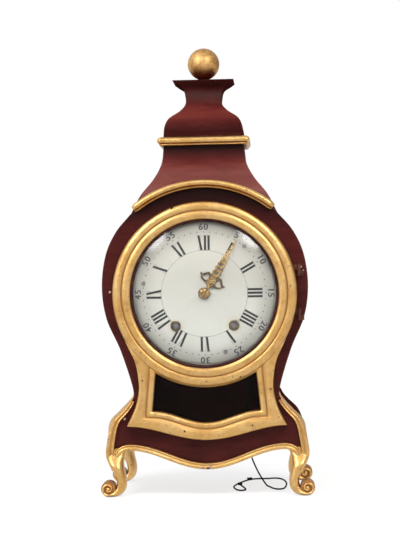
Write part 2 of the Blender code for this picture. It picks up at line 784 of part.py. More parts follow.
def door_outline():
    # Round bezel above, waisted and spreading to a sagging foot below
    join = math.radians(-35)
    steps = 20
    arc = []
    for i in range(steps + 1):
        angle = math.pi / 2 + (join - math.pi / 2) * i / steps
        arc.append((BEZEL_RADIUS * math.cos(angle), DIAL_Z + BEZEL_RADIUS * math.sin(angle)))
    spread = DOOR_FOOT_HALF - DOOR_WAIST_HALF
    drop = DOOR_WAIST_Z - DOOR_FOOT_Z
    shoulder = arc[-1]
    lower = [
        shoulder,
        (DOOR_WAIST_HALF + 0.3 * (shoulder[0] - DOOR_WAIST_HALF), (shoulder[1] + DOOR_WAIST_Z) / 2),
        (DOOR_WAIST_HALF, DOOR_WAIST_Z),
        (DOOR_WAIST_HALF + 0.2 * spread, DOOR_FOOT_Z + 0.6 * drop),
        (DOOR_WAIST_HALF + 0.6 * spread, DOOR_FOOT_Z + 0.26 * drop),
        (DOOR_FOOT_HALF, DOOR_FOOT_Z),
    ]
    foot = []
    for i in range(1, 8):
        x = DOOR_FOOT_HALF * (1 - i / 7)
        sag = (1 + math.cos(math.pi * x / DOOR_FOOT_HALF)) / 2
        foot.append((x, DOOR_FOOT_Z - DOOR_SAG * sag))
    right = arc + smooth(lower, 3)[1:] + foot
    return right + mirrored(right)[1:-1]


def hinge_heights():
    return (("lower", DIAL_Z - HINGE_SPREAD), ("upper", DIAL_Z + HINGE_SPREAD))


def hinge_leaf_start(z):
    # The leaf reaches this far in from the bezel's edge
    return math.sqrt(BEZEL_RADIUS**2 - (abs(z - DIAL_Z) + KNUCKLE_HEIGHT) ** 2) - 11 * MM


def make_door():
    face = GLASS_SEAT - 0.4 * MM
    rebate = circle((0, DIAL_Z), BEZEL_OPENING + GLASS_LAP + FIT, ROUND_SIDES)
    frame = prism([door_outline(), rebate, window_outline()], face, DOOR_BACK)

    # The bezel's turned moulding: a flat outer band, a groove and a quarter-round inside it
    front = BEZEL_DEPTH
    seat = DOOR_THICKNESS
    outer = BEZEL_RADIUS - 0.9 * MM
    groove = BEZEL_OPENING + 0.45 * (BEZEL_RADIUS - BEZEL_OPENING)
    root = BEZEL_OPENING + GLASS_LAP + 2 * MM
    profile = [
        (BEZEL_OPENING, seat),
        (BEZEL_OPENING, seat + 1.4 * MM),
        (BEZEL_OPENING + 3 * MM, front - MM),
        (groove - 2.5 * MM, front),
        (groove, front - 2 * MM),
        (groove + 2 * MM, front),
        (outer - 2.5 * MM, front - 0.4 * MM),
        (outer, front - 3 * MM),
        (outer, seat - 2 * MM),
        (root, seat - 2 * MM),
        (root, seat),
    ]
    bezel = turned(profile, (0, DOOR_BACK, DIAL_Z), ROUND_SIDES, axis="Y", ring=True)

    pane_room = prism(
        [offset(window_outline(), -GLASS_LAP - FIT)], DOOR_BACK - GLASS - 2 * FIT, DOOR_BACK + MM
    )
    mortises = [pane_room]
    mortise_floor = DOOR_BACK - LEAF - 2 * FIT
    for _, z in hinge_heights():
        start = hinge_leaf_start(z)
        mortises.append(
            block(
                (start - FIT, mortise_floor, z - FIT),
                (HINGE_X, DOOR_BACK + MM, z + KNUCKLE_HEIGHT + FIT),
            )
        )
    wide, tall = CATCH_TONGUE / 2 + 3 * MM + FIT, CATCH_TONGUE / 2 + 6 * MM + FIT
    mortises.append(
        block(
            (CATCH_X - wide, mortise_floor, DIAL_Z - tall), (CATCH_X + wide, DOOR_BACK + MM, DIAL_Z + tall)
        )
    )
    piece("door_frame", "gilt", cut(joined(frame, bezel), *mortises), (HINGE_X, HINGE_Y, DIAL_Z))


def make_glasses():
    axis = (HINGE_X, HINGE_Y, DIAL_Z)
    edge = BEZEL_OPENING + GLASS_LAP
    spring = BEZEL_OPENING - 0.6 * MM
    base = DOOR_THICKNESS - FIT  # the flange lies behind the bezel's lip
    steps = 4

    def dome(share):
        return GLASS_RISE * (1 - share * share)

    outside = [(spring * i / steps, base + dome(i / steps)) for i in range(steps + 1)]
    under = spring - GLASS
    inside = [(under * i / steps, base - GLASS + dome(i / steps)) for i in range(steps + 1)]
    profile = outside + [(edge, base), (edge, base - GLASS)] + inside[::-1]
    bowl = turned(profile, (0, DOOR_BACK, DIAL_Z), ROUND_SIDES, axis="Y")
    piece("dial_glass", "glass", bowl, axis)

    pane = offset(window_outline(), -GLASS_LAP)
    piece("window_glass", "glass", prism([pane], DOOR_BACK - FIT - GLASS, DOOR_BACK - FIT), axis)


def make_door_hinges():
    axis = (HINGE_X, HINGE_Y)
    for name, z in hinge_heights():
        low = z - FIT - KNUCKLE_HEIGHT
        leaf_back = CASE_FRONT - FIT
        knuckle = rod(KNUCKLE_RADIUS, axis, low, z - FIT, axis="Z")
        leaf = block(
            (HINGE_X + PIN_RADIUS, leaf_back - LEAF, low + FIT),
            (HINGE_X + 6 * MM, leaf_back, z - 2 * FIT),
        )
        pin = rod(PIN_RADIUS, axis, z - KNUCKLE_HEIGHT / 2, z + KNUCKLE_HEIGHT + MM, axis="Z")
        piece("door_hinge_" + name, "brass", joined(knuckle, leaf, pin))

        bore = PIN_RADIUS + RUN
        eye = prism(
            [circle(axis, KNUCKLE_RADIUS, 12), circle(axis, bore, 12)], z, z + KNUCKLE_HEIGHT, axis="Z"
        )
        arm = block(
            (hinge_leaf_start(z), DOOR_BACK - FIT - LEAF, z + FIT),
            (HINGE_X - bore - 0.2 * MM, DOOR_BACK - FIT, z + KNUCKLE_HEIGHT - FIT),
        )
        piece("door_eye_" + name, "brass", joined(eye, arm), (*axis, z))


def make_door_catch():
    half = CATCH_TONGUE / 2
    plate_front = DOOR_BACK - FIT - LEAF
    plate = block(
        (CATCH_X - half - 3 * MM, plate_front, DIAL_Z - half - 6 * MM),
        (CATCH_X + half + 3 * MM, DOOR_BACK - FIT, DIAL_Z + half + 6 * MM),
    )
    tongue = block(
        (CATCH_X - half, plate_front + FIT, DIAL_Z - half),
        (CATCH_X + half, CASE_FRONT + FRONT_BOARD * 0.6, DIAL_Z + half),
    )
    piece("door_catch", "brass", joined(plate, tongue), (HINGE_X, HINGE_Y, DIAL_Z))


def dial_rise_at(radius):
    return DIAL_RISE * (1 - (radius / DIAL_RADIUS) ** 2)


def dial_screw_places():
    angles = [math.radians(angle) for angle in DIAL_SCREW_ANGLES]
    return [
        (DIAL_SCREW_CIRCLE * math.sin(a), DIAL_Z + DIAL_SCREW_CIRCLE * math.cos(a)) for a in angles
    ]


def barrel_places():
    low = DIAL_Z - BARREL_DROP
    return {"going": (BARREL_X, low), "strike": (-BARREL_X, low)}


def make_dial():
    steps = 3
    radii = [DIAL_HOLE + (DIAL_RADIUS - DIAL_HOLE) * i / steps for i in range(steps + 1)]
    front = [(radius, DIAL_THICKNESS + dial_rise_at(radius)) for radius in radii]
    back = [(radius, dial_rise_at(radius)) for radius in reversed(radii)]
    dial = turned(front + back, (0, DIAL_EDGE, DIAL_Z), ROUND_SIDES, axis="Y", ring=True)
    ahead = DIAL_EDGE - DIAL_RISE - 2 * DIAL_THICKNESS
    holes = [rod(KEY_HOLE, place, ahead, DIAL_EDGE + MM) for place in barrel_places().values()]
    for place in dial_screw_places():
        holes.append(rod(DIAL_SCREW_RADIUS + FIT, place, ahead, DIAL_EDGE + MM, sides=8))
    piece("dial", "enamel", cut(dial, *holes))

    face = DIAL_EDGE - DIAL_THICKNESS - dial_rise_at(DIAL_SCREW_CIRCLE)
    under = face - 0.8 * MM  # clear of the dial's slope
    for i, place in enumerate(dial_screw_places()):
        shank = rod(DIAL_SCREW_RADIUS, place, under - 0.4 * MM, BOARD_BACK - 2 * MM, sides=8)
        head = rod(2 * DIAL_SCREW_RADIUS, place, under - 1.2 * MM, under, sides=10)
        piece("dial_screw_%d" % (i + 1), "steel", joined(head, shank))


def hand_mesh(stations, boss, bore, degrees, front):
    # A flat hand: stations are (radius, half width) along the blade, then dished to follow the dial
    root = math.asin(stations[0][1] / boss)
    first, last = math.pi / 2 + root, 5 * math.pi / 2 - root
    steps = 14
    arc = [first + (last - first) * i / steps for i in range(steps + 1)]
    outline = [(boss * math.cos(a), boss * math.sin(a)) for a in arc]
    outline += [(half, radius) for radius, half in stations]
    outline += [(-half, radius) for radius, half in reversed(stations)]
    turn = math.radians(degrees)

    def turned_point(across, along):
        return (
            across * math.cos(turn) + along * math.sin(turn),
            DIAL_Z - across * math.sin(turn) + along * math.cos(turn),
        )

    shape = [turned_point(*point) for point in outline]
    mesh = prism([shape, circle((0, DIAL_Z), bore, 12)], front, front + HAND_THICKNESS)
    for vertex in mesh.vertices:
        radius = math.hypot(vertex.co.x, vertex.co.z - DIAL_Z)
        vertex.co.y += HAND_DISH * (radius / MINUTE_HAND) ** 2
    return mesh


def make_hands():
    hour = [
        (0.16, 2.2 * MM),
        (0.25, 3.5 * MM),
        (0.33, 16 * MM),
        (0.42, 14 * MM),
        (0.48, 4 * MM),
        (0.58, 7.5 * MM),
        (0.70, 6 * MM),
        (0.78, 2.2 * MM),
        (0.90, 1.8 * MM),
        (1.0, 0.4 * MM),
    ]
    minute = [
        (0.11, 2.0 * MM),
        (0.25, 1.8 * MM),
        (0.33, 4.2 * MM),
        (0.41, 4.2 * MM),
        (0.50, 1.8 * MM),
        (0.78, 2.0 * MM),
        (0.93, 1.2 * MM),
        (1.0, 0.3 * MM),
    ]
    axis = (0, DIAL_EDGE, DIAL_Z)
    hour_blade = [(HOUR_HAND * share, half) for share, half in hour]
    minute_blade = [(MINUTE_HAND * share, half) for share, half in minute]
    hour_mesh = hand_mesh(hour_blade, 8 * MM, HOUR_PIPE + FIT, HOUR_ANGLE, HOUR_HAND_Y)
    piece("hour_hand", "hand gilt", hour_mesh, axis)
    minute_mesh = hand_mesh(minute_blade, 7 * MM, CANNON_PIPE + FIT, MINUTE_ANGLE, MINUTE_HAND_Y)
    piece("minute_hand", "hand gilt", minute_mesh, axis)

    nut_back = MINUTE_HAND_Y - FIT
    centre = (0, DIAL_Z)
    cap = prism(
        [circle(centre, 5 * MM, 16), circle(centre, ARBOR + FIT, 12)], nut_back - HAND_NUT, nut_back
    )
    piece("hand_nut", "brass", cap, axis)


def wheel_outline(centre, teeth, module, phase):
    # Pointed clock teeth: a root and a tip for each
    radius = module * teeth / 2
    step = 2 * math.pi / teeth
    made = []
    for i in range(teeth):
        angle = phase + i * step
        for reach, turn in ((radius - 1.1 * module, angle - step / 2), (radius + 0.7 * module, angle)):
            made.append((centre[0] + reach * math.cos(turn), centre[1] + reach * math.sin(turn)))
    return made


def pinion_outline(centre, leaves, module, phase):
    # Slim straight leaves with room for the wheel's teeth between them
    radius = module * leaves / 2
    step = 2 * math.pi / leaves
    root, tip = radius - 1.3 * module, radius + 0.6 * module
    made = []
    for i in range(leaves):
        angle = phase + i * step
        for reach, share in ((root, -0.2), (tip, -0.12), (tip, 0.12), (root, 0.2)):
            turn = angle + share * step
            made.append((centre[0] + reach * math.cos(turn), centre[1] + reach * math.sin(turn)))
    return made


def meshing_phase(place, teeth, phase, other, other_teeth):
    # The other's phase that puts its gap where this one's tooth comes
    line = math.atan2(other[1] - place[1], other[0] - place[0])
    step = 2 * math.pi / teeth
    behind = (line - phase) % step
    return line + math.pi + behind * teeth / other_teeth + math.pi / other_teeth


def meeting(first, first_reach, second, second_reach, side):
    # The point at two given distances from two others, to one side of their line
    a, b = Vector(first), Vector(second)
    gap = (b - a).length
    along = (first_reach**2 - second_reach**2 + gap**2) / (2 * gap)
    away = math.sqrt(first_reach**2 - along**2)
    line = (b - a).normalized()
    point = a + line * along + Vector((-line.y, line.x)) * away * side
    return (point.x, point.y)


def train_places():
    # Every arbor's place, from the wheels that mesh there
    centre = (0, DIAL_Z)
    barrels = barrel_places()
    reach_barrel = GREAT_MODULE * (GREAT_TEETH + INTERMEDIATE_LEAVES) / 2
    reach_centre = GREAT_MODULE * (INTERMEDIATE_TEETH + CENTRE_LEAVES) / 2
    escape = (0, DIAL_Z + ESCAPE_UP)
    reach_third = CENTRE_MODULE * (CENTRE_TEETH + THIRD_LEAVES) / 2
    reach_escape = THIRD_MODULE * (THIRD_TEETH + ESCAPE_LEAVES) / 2
    intermediate = meeting(centre, reach_centre, barrels["going"], reach_barrel, 1)
    pin_reach = GREAT_MODULE * (GREAT_TEETH + PIN_LEAVES) / 2
    pin_wheel = meeting(centre, reach_centre, barrels["strike"], pin_reach, -1)
    fly_reach = PIN_MODULE * (PIN_TEETH + FLY_LEAVES) / 2
    fly_angle = math.radians(150)
    return {
        "going": barrels["going"],
        "strike": barrels["strike"],
        "centre": centre,
        "intermediate": intermediate,
        "third": meeting(centre, reach_third, escape, reach_escape, 1),
        "escape": escape,
        "pallets": (0, DIAL_Z + PALLET_UP),
        "pin_wheel": pin_wheel,
        "fly": (
            pin_wheel[0] + fly_reach * math.cos(fly_angle),
            pin_wheel[1] + fly_reach * math.sin(fly_angle),
        ),
        "hammer": (HAMMER_X, DIAL_Z + HAMMER_UP),
    }


def minute_place():
    return (0, DIAL_Z + CANNON_MODULE * (CANNON_TEETH + MINUTE_TEETH) / 2)


def corner_places():
    half = PLATE_HALF - PILLAR_INSET
    heights = (DIAL_Z - PLATE_DOWN + PILLAR_INSET, DIAL_Z + PLATE_UP - PILLAR_INSET)
    return [(side * half, z) for side in (-1, 1) for z in heights]


def lever_place():
    return (LEVER_X, DIAL_Z - LEVER_DROP)


def arbor_holes(front, back):
    # Cutters for every arbor that passes a plate
    holes = []
    for name, place in train_places().items():
        radius = WINDING_ARBOR + RUN if name in ("going", "strike") else ARBOR_HOLE
        holes.append(rod(radius, place, front - MM, back + MM, sides=8))
    return holes


def plate(front, back):
    low, high = DIAL_Z - PLATE_DOWN, DIAL_Z + PLATE_UP
    return block((-PLATE_HALF, front, low), (PLATE_HALF, back, high))


def make_plates():
    bite = PLATE / 2
    lugs = [
        rod(LUG_RADIUS, place, BOARD_BACK + FIT, PLATE_FRONT + bite, sides=8)
        for place in corner_places()
    ]
    stud = rod(MINUTE_STUD, minute_place(), MINUTE_PINION_Y - MM, PLATE_FRONT + bite, sides=10)
    front = joined(plate(PLATE_FRONT, PLATE_FRONT_BACK), *lugs, stud)
    piece("front_plate", "brass", cut(front, *arbor_holes(PLATE_FRONT, PLATE_FRONT_BACK)))

    pillars = [
        rod(PILLAR_RADIUS, place, PLATE_FRONT_BACK + FIT, PLATE_BACK + bite, sides=8)
        for place in corner_places()
    ]
    # The pendulum's cock: an arm over the pallet arbor, a hanging ear and its stud
    x, z = train_places()["pallets"]
    ear_front = PENDULUM_Y + 3 * MM
    ear_back = ear_front + 3 * MM
    arm = block((x - 6 * MM, PLATE_BACK + bite, z + 7 * MM), (x + 6 * MM, ear_back, z + 13 * MM))
    ear = block((x - 4 * MM, ear_front, z - 4 * MM), (x + 4 * MM, ear_back - FIT, z + 12 * MM))
    hanger = rod(ROD_RADIUS, (x, z), PENDULUM_Y - 2.5 * MM, ear_front + MM, sides=10)
    pivot = rod(LEVER_STUD, lever_place(), PLATE_BACK + bite, LEVER_Y + LEVER, sides=10)
    back = cut(plate(PLATE_BACK, PLATE_BACK_BACK), *arbor_holes(PLATE_BACK, PLATE_BACK_BACK))
    piece("back_plate", "brass", joined(back, *pillars, arm, ear, hanger, pivot))


def make_barrels():
    places = train_places()
    great_y = PLATE_FRONT_BACK + 1.5 * MM
    drum_y = great_y + WHEEL / 2
    bore = WINDING_ARBOR + RUN
    for name in ("going", "strike"):
        place = places[name]
        teeth = wheel_outline(place, GREAT_TEETH, GREAT_MODULE, GREAT_PHASE)
        wheel = prism([teeth], great_y, great_y + WHEEL)
        drum = rod(BARREL_RADIUS, place, drum_y, drum_y + BARREL_LENGTH, sides=24)
        hole = rod(bore, place, great_y - MM, drum_y + BARREL_LENGTH + MM, sides=12)
        axis = (place[0], great_y, place[1])
        piece(name + "_barrel", "brass", cut(joined(wheel, drum), hole), axis)

        # The winding arbor ends in a square behind the dial's key hole
        body = rod(WINDING_ARBOR, place, SQUARE_Y, PLATE_BACK_BACK, sides=12)
        half = WINDING_ARBOR * 0.62
        end = SQUARE_Y - SQUARE_LENGTH
        tip = block(
            (place[0] - half, end, place[1] - half), (place[0] + half, SQUARE_Y + MM, place[1] + half)
        )
        piece(name + "_arbor", "steel", joined(body, tip), axis)


def wheel_piece(name, place, parts, front=PLATE_FRONT, back=PLATE_BACK_BACK, extra=()):
    # Wheel, pinion and arbor in one; parts are (outline, first y, last y)
    arbor = rod(ARBOR, place, front, back, sides=8)
    solids = [prism([outline], start, end) for outline, start, end in parts]
    piece(name, "brass", joined(arbor, *solids, *extra), (place[0], 0, place[1]))


def make_trains():
    places = train_places()
    front_pinion = PLATE_FRONT_BACK + FIT
    rear_wheel = PLATE_BACK - 3 * WHEEL - FIT
    rear_pinion = rear_wheel - (PINION - WHEEL) / 2
    centre_wheel = rear_wheel - 4 * WHEEL
    third_wheel = centre_wheel - 4 * WHEEL
    escape_wheel = third_wheel - 4 * WHEEL

    def pinion_for(wheel_y):
        return wheel_y - (PINION - WHEEL) / 2

    def meshed(driver, teeth, phase, follower, leaves):
        return meshing_phase(places[driver], teeth, phase, places[follower], leaves)

    phase = meshed("going", GREAT_TEETH, GREAT_PHASE, "intermediate", INTERMEDIATE_LEAVES)
    place = places["intermediate"]
    pinion = pinion_outline(place, INTERMEDIATE_LEAVES, GREAT_MODULE, phase)
    wheel = wheel_outline(place, INTERMEDIATE_TEETH, GREAT_MODULE, phase)
    wheel_piece(
        "intermediate_wheel",
        place,
        [(pinion, front_pinion, front_pinion + PINION), (wheel, rear_wheel, rear_wheel + WHEEL)],
    )

    phase = meshed("intermediate", INTERMEDIATE_TEETH, phase, "centre", CENTRE_LEAVES)
    place = places["centre"]
    pinion = pinion_outline(place, CENTRE_LEAVES, GREAT_MODULE, phase)
    wheel = wheel_outline(place, CENTRE_TEETH, CENTRE_MODULE, phase)
    wheel_piece(
        "centre_wheel",
        place,
        [(pinion, rear_pinion, rear_pinion + PINION), (wheel, centre_wheel, centre_wheel + WHEEL)],
        front=MINUTE_HAND_Y - FIT - HAND_NUT - MM,
    )

    phase = meshed("centre", CENTRE_TEETH, phase, "third", THIRD_LEAVES)
    place = places["third"]
    start = pinion_for(centre_wheel)
    pinion = pinion_outline(place, THIRD_LEAVES, CENTRE_MODULE, phase)
    wheel = wheel_outline(place, THIRD_TEETH, THIRD_MODULE, phase)
    wheel_piece(
        "third_wheel",
        place,
        [(pinion, start, start + PINION), (wheel, third_wheel, third_wheel + WHEEL)],
    )

    phase = meshed("third", THIRD_TEETH, phase, "escape", ESCAPE_LEAVES)
    place = places["escape"]
    start = pinion_for(third_wheel)
    pinion = pinion_outline(place, ESCAPE_LEAVES, THIRD_MODULE, phase)
    step = 2 * math.pi / ESCAPE_TEETH
    saw = []
    for i in range(ESCAPE_TEETH):
        for reach, share in ((ESCAPE_RADIUS - 2.2 * MM, 0), (ESCAPE_RADIUS, 0.75)):
            angle = (i + share) * step
            saw.append((place[0] + reach * math.cos(angle), place[1] + reach * math.sin(angle)))
    wheel_piece(
        "escape_wheel",
        place,
        [(pinion, start, start + PINION), (saw, escape_wheel, escape_wheel + WHEEL)],
    )
    make_pallets(places["pallets"], escape_wheel)

    phase = meshed("strike", GREAT_TEETH, GREAT_PHASE, "pin_wheel", PIN_LEAVES)
    place = places["pin_wheel"]
    pinion = pinion_outline(place, PIN_LEAVES, GREAT_MODULE, phase)
    wheel = wheel_outline(place, PIN_TEETH, PIN_MODULE, phase)
    pins = [
        rod(MM, point, rear_wheel - 3 * MM, rear_wheel + WHEEL / 2, sides=5)
        for point in circle(place, PIN_CIRCLE, 8)
    ]
    wheel_piece(
        "pin_wheel",
        place,
        [(pinion, front_pinion, front_pinion + PINION), (wheel, rear_wheel, rear_wheel + WHEEL)],
        extra=pins,
    )

    phase = meshed("pin_wheel", PIN_TEETH, phase, "fly", FLY_LEAVES)
    place = places["fly"]
    pinion = pinion_outline(place, FLY_LEAVES, PIN_MODULE, phase)
    vane = block(
        (place[0] - FLY_HALF, third_wheel - FLY_LENGTH, place[1] - ARBOR / 2),
        (place[0] + FLY_HALF, third_wheel, place[1] + ARBOR / 2),
    )
    wheel_piece("fly", place, [(pinion, rear_pinion, rear_pinion + PINION)], extra=(vane,))


def make_pallets(place, wheel_y):
    # Anchor over the escape wheel, its arbor, and the crutch that embraces the pendulum rod
    x, z = place
    across = ESCAPE_RADIUS + 2.4 * MM
    drop = PALLET_UP - ESCAPE_UP  # from the pallet arbor to the escape wheel's
    right = [
        (4 * MM, 3 * MM),
        (across, -0.42 * drop),
        (across + 1.2 * MM, -0.64 * drop),
        (across - 1.6 * MM, -0.60 * drop),
        (across - 3.6 * MM, -0.40 * drop),
        (2.5 * MM, -3 * MM),
    ]
    anchor = [(x + u, z + v) for u, v in right + mirrored(right)]
    start = wheel_y - WHEEL / 4
    crutch_y = PLATE_BACK_BACK + MM
    crutch = LEVER
    arbor = rod(ARBOR, place, PLATE_FRONT, crutch_y + crutch / 2, sides=10)
    arm = block((x - 1.5 * MM, crutch_y, z - CRUTCH), (x + 1.5 * MM, crutch_y + crutch, z + 3 * MM))
    fork = block(
        (x - 5 * MM, crutch_y + MM, z - CRUTCH - 2 * MM),
        (x + 5 * MM, PENDULUM_Y + 4 * MM, z - CRUTCH + 2 * MM),
    )
    room = ROD_RADIUS + RUN
    slot = block(
        (x - room, PENDULUM_Y - 3 * MM, z - CRUTCH - 4 * MM),
        (x + room, PENDULUM_Y + 6 * MM, z - CRUTCH + 4 * MM),
    )
    solid = prism([anchor], start, start + 1.5 * WHEEL)
    mesh = joined(solid, arbor, arm, cut(fork, slot))
    piece("pallets", "steel", mesh, (x, PLATE_BACK_BACK, z))


def make_pendulum():
    x, z = train_places()["pallets"]
    eye = prism(
        [circle((x, z), 4 * MM, 14), circle((x, z), ROD_RADIUS + RUN, 12)],
        PENDULUM_Y - 2 * MM,
        PENDULUM_Y + 2 * MM,
    )
    foot = z - PENDULUM_LENGTH - BOB_RADIUS - 6 * MM
    shaft = rod(ROD_RADIUS, (x, PENDULUM_Y), foot, z - 2.5 * MM, axis="Z", sides=10)
    half = BOB_THICKNESS / 2
    lens = [
        (0, half),
        (0.55 * BOB_RADIUS, 0.8 * half),
        (BOB_RADIUS, 0.2 * half),
        (BOB_RADIUS, -0.2 * half),
        (0.55 * BOB_RADIUS, -0.8 * half),
        (0, -half),
    ]
    bob = turned(lens, (x, PENDULUM_Y, z - PENDULUM_LENGTH), 20, axis="Y")
    nut = rod(3.5 * MM, (x, PENDULUM_Y), foot + 1.5 * MM, foot + 4.5 * MM, axis="Z", sides=12)
    piece("pendulum", "brass", joined(eye, shaft, bob, nut), (x, PENDULUM_Y, z))


def make_motion_work():
    centre = (0, DIAL_Z)
    phase = math.pi / 2
    gear = prism([pinion_outline(centre, CANNON_TEETH, CANNON_MODULE, phase)], CANNON_Y, CANNON_Y + PINION)
    pipe = rod(CANNON_PIPE, centre, MINUTE_HAND_Y, CANNON_Y + MM, sides=14)
    bore = rod(ARBOR + FIT, centre, MINUTE_HAND_Y - MM, CANNON_Y + PINION + MM, sides=10)
    piece("cannon_pinion", "steel", cut(joined(gear, pipe), bore), (0, CANNON_Y, DIAL_Z))

    place = minute_place()
    follow = meshing_phase(centre, CANNON_TEETH, phase, place, MINUTE_TEETH)
    hour_module = 2 * (place[1] - DIAL_Z) / (MINUTE_LEAVES + HOUR_TEETH)
    wheel_y = CANNON_Y + (PINION - WHEEL) / 2
    wheel = prism([wheel_outline(place, MINUTE_TEETH, CANNON_MODULE, follow)], wheel_y, wheel_y + WHEEL)
    leaves = prism(
        [pinion_outline(place, MINUTE_LEAVES, hour_module, follow)], MINUTE_PINION_Y, wheel_y + WHEEL / 2
    )
    hole = rod(MINUTE_STUD + RUN, place, MINUTE_PINION_Y - MM, wheel_y + WHEEL + MM, sides=10)
    piece("minute_wheel", "brass", cut(joined(wheel, leaves), hole), (0, wheel_y, place[1]))

    last = meshing_phase(place, MINUTE_LEAVES, follow, centre, HOUR_TEETH)
    hour_y = MINUTE_PINION_Y + MM
    disc = prism([wheel_outline(centre, HOUR_TEETH, hour_module, last)], hour_y, hour_y + WHEEL)
    sleeve = rod(HOUR_PIPE, centre, HOUR_HAND_Y, hour_y + MM, sides=14)
    through = rod(CANNON_PIPE + RUN, centre, HOUR_HAND_Y - MM, hour_y + WHEEL + MM, sides=14)
    piece("hour_wheel", "brass", cut(joined(disc, sleeve), through), (0, hour_y, DIAL_Z))


def make_strike_work():
    rim_z = SHOULDER_Z + BELL_RAISE
    top = rim_z + BELL_HEIGHT
    post = 2.5 * MM
    bore = post + FIT
    shape = [(bore, 1), (0.45 * BELL_RADIUS, 0.96), (0.80 * BELL_RADIUS, 0.70), (BELL_RADIUS, 0)]
    outer = smooth([(radius, up * BELL_HEIGHT) for radius, up in shape], 2)
    inner = [
        (max(radius - BELL_WALL, bore), max(up - BELL_WALL, 0) if up else 0) for radius, up in outer
    ]
    inner[0] = (bore, BELL_HEIGHT - BELL_WALL)
    inner = [inner[0]] + [point for point in inner[1:] if point[0] > bore]
    bell = turned(outer + inner[::-1], (BELL_X, BELL_Y, rim_z), 24, ring=True)
    piece("bell", "bell bronze", bell, (BELL_X, BELL_Y, rim_z))

    foot_front = PLATE_BACK_BACK + FIT
    foot_high = DIAL_Z + PLATE_UP - 8 * MM
    foot = block(
        (BELL_X - 4.5 * MM, foot_front, foot_high - 14 * MM),
        (BELL_X + 4.5 * MM, BELL_Y + post + MM, foot_high),
    )
    stem = rod(post, (BELL_X, BELL_Y), foot_high - 5 * MM, top + 6 * MM, axis="Z")
    under = top - BELL_WALL - FIT
    collar = rod(2 * post, (BELL_X, BELL_Y), under - 3 * MM, under, axis="Z")
    nut = rod(2 * post, (BELL_X, BELL_Y), top + FIT, top + FIT + 3 * MM, axis="Z")
    piece("bell_stand", "steel", joined(stem, foot, collar, nut))

    x, z = train_places()["hammer"]
    half = 4 * MM
    head_x = BELL_X - BELL_RADIUS - HAMMER_GAP - half
    head_z = rim_z + half
    arm_y = PLATE_BACK - FIT - MM - 3 * MM
    width = 2.2 * MM
    tail = (x + 6 * MM, z - 18 * MM)
    arm_line = [tail, (x, z), (head_x - width, head_z + half / 2)]
    arm = prism([band(arm_line, 2 * width)], arm_y, arm_y + 3 * MM)
    arbor = rod(ARBOR, (x, z), PLATE_FRONT, PLATE_BACK_BACK, sides=10)
    head = block(
        (head_x - half, arm_y + MM, head_z - half), (head_x + half, BELL_Y + half, head_z + half)
    )
    piece("hammer", "steel", joined(arm, arbor, head), (x, 0, z))


def make_repeat_work():
    x, z = lever_place()
    height = 3.5 * MM
    bar = prism(
        [
            [
                (x - 6 * MM, z - height),
                (CORD_X, z - height),
                (CORD_X, z + height),
                (x - 6 * MM, z + height),
            ],
            circle((x, z), LEVER_STUD + RUN, 12),
        ],
        LEVER_Y - LEVER / 2,
        LEVER_Y + LEVER / 2,
    )
    thick = 2 * MM
    eye = block(
        (CORD_X - 4 * MM, LEVER_Y - LEVER / 4, z - thick),
        (CORD_X + 4 * MM, CORD_Y + 3.5 * MM, z + thick),
    )
    slot_x = CORD_RADIUS + 1.4 * MM
    slot_y = CORD_RADIUS + 2 * FIT
    slot = block(
        (CORD_X - slot_x, CORD_Y - slot_y, z - 2 * height),
        (CORD_X + slot_x, CORD_Y + slot_y, z + 2 * height),
    )
    piece("repeat_lever", "steel", cut(joined(bar, eye), slot), (x, LEVER_Y, z))

    # The cord's inner run: a stop knot over the lever's eye, then down through the bottom board
    knot = 2.6 * MM
    knot_z = z + thick + FIT + knot
    steps = 6
    neck = math.asin(CORD_RADIUS / knot)
    angles = [(math.pi - neck) * i / steps for i in range(steps + 1)]
    profile = [(knot * math.sin(a), knot_z + knot * math.cos(a)) for a in angles]
    profile += [(CORD_RADIUS, BASE_Z), (0, BASE_Z)]
    piece("cord_inner", "cord", turned(profile, (CORD_X, CORD_Y, 0), 8))


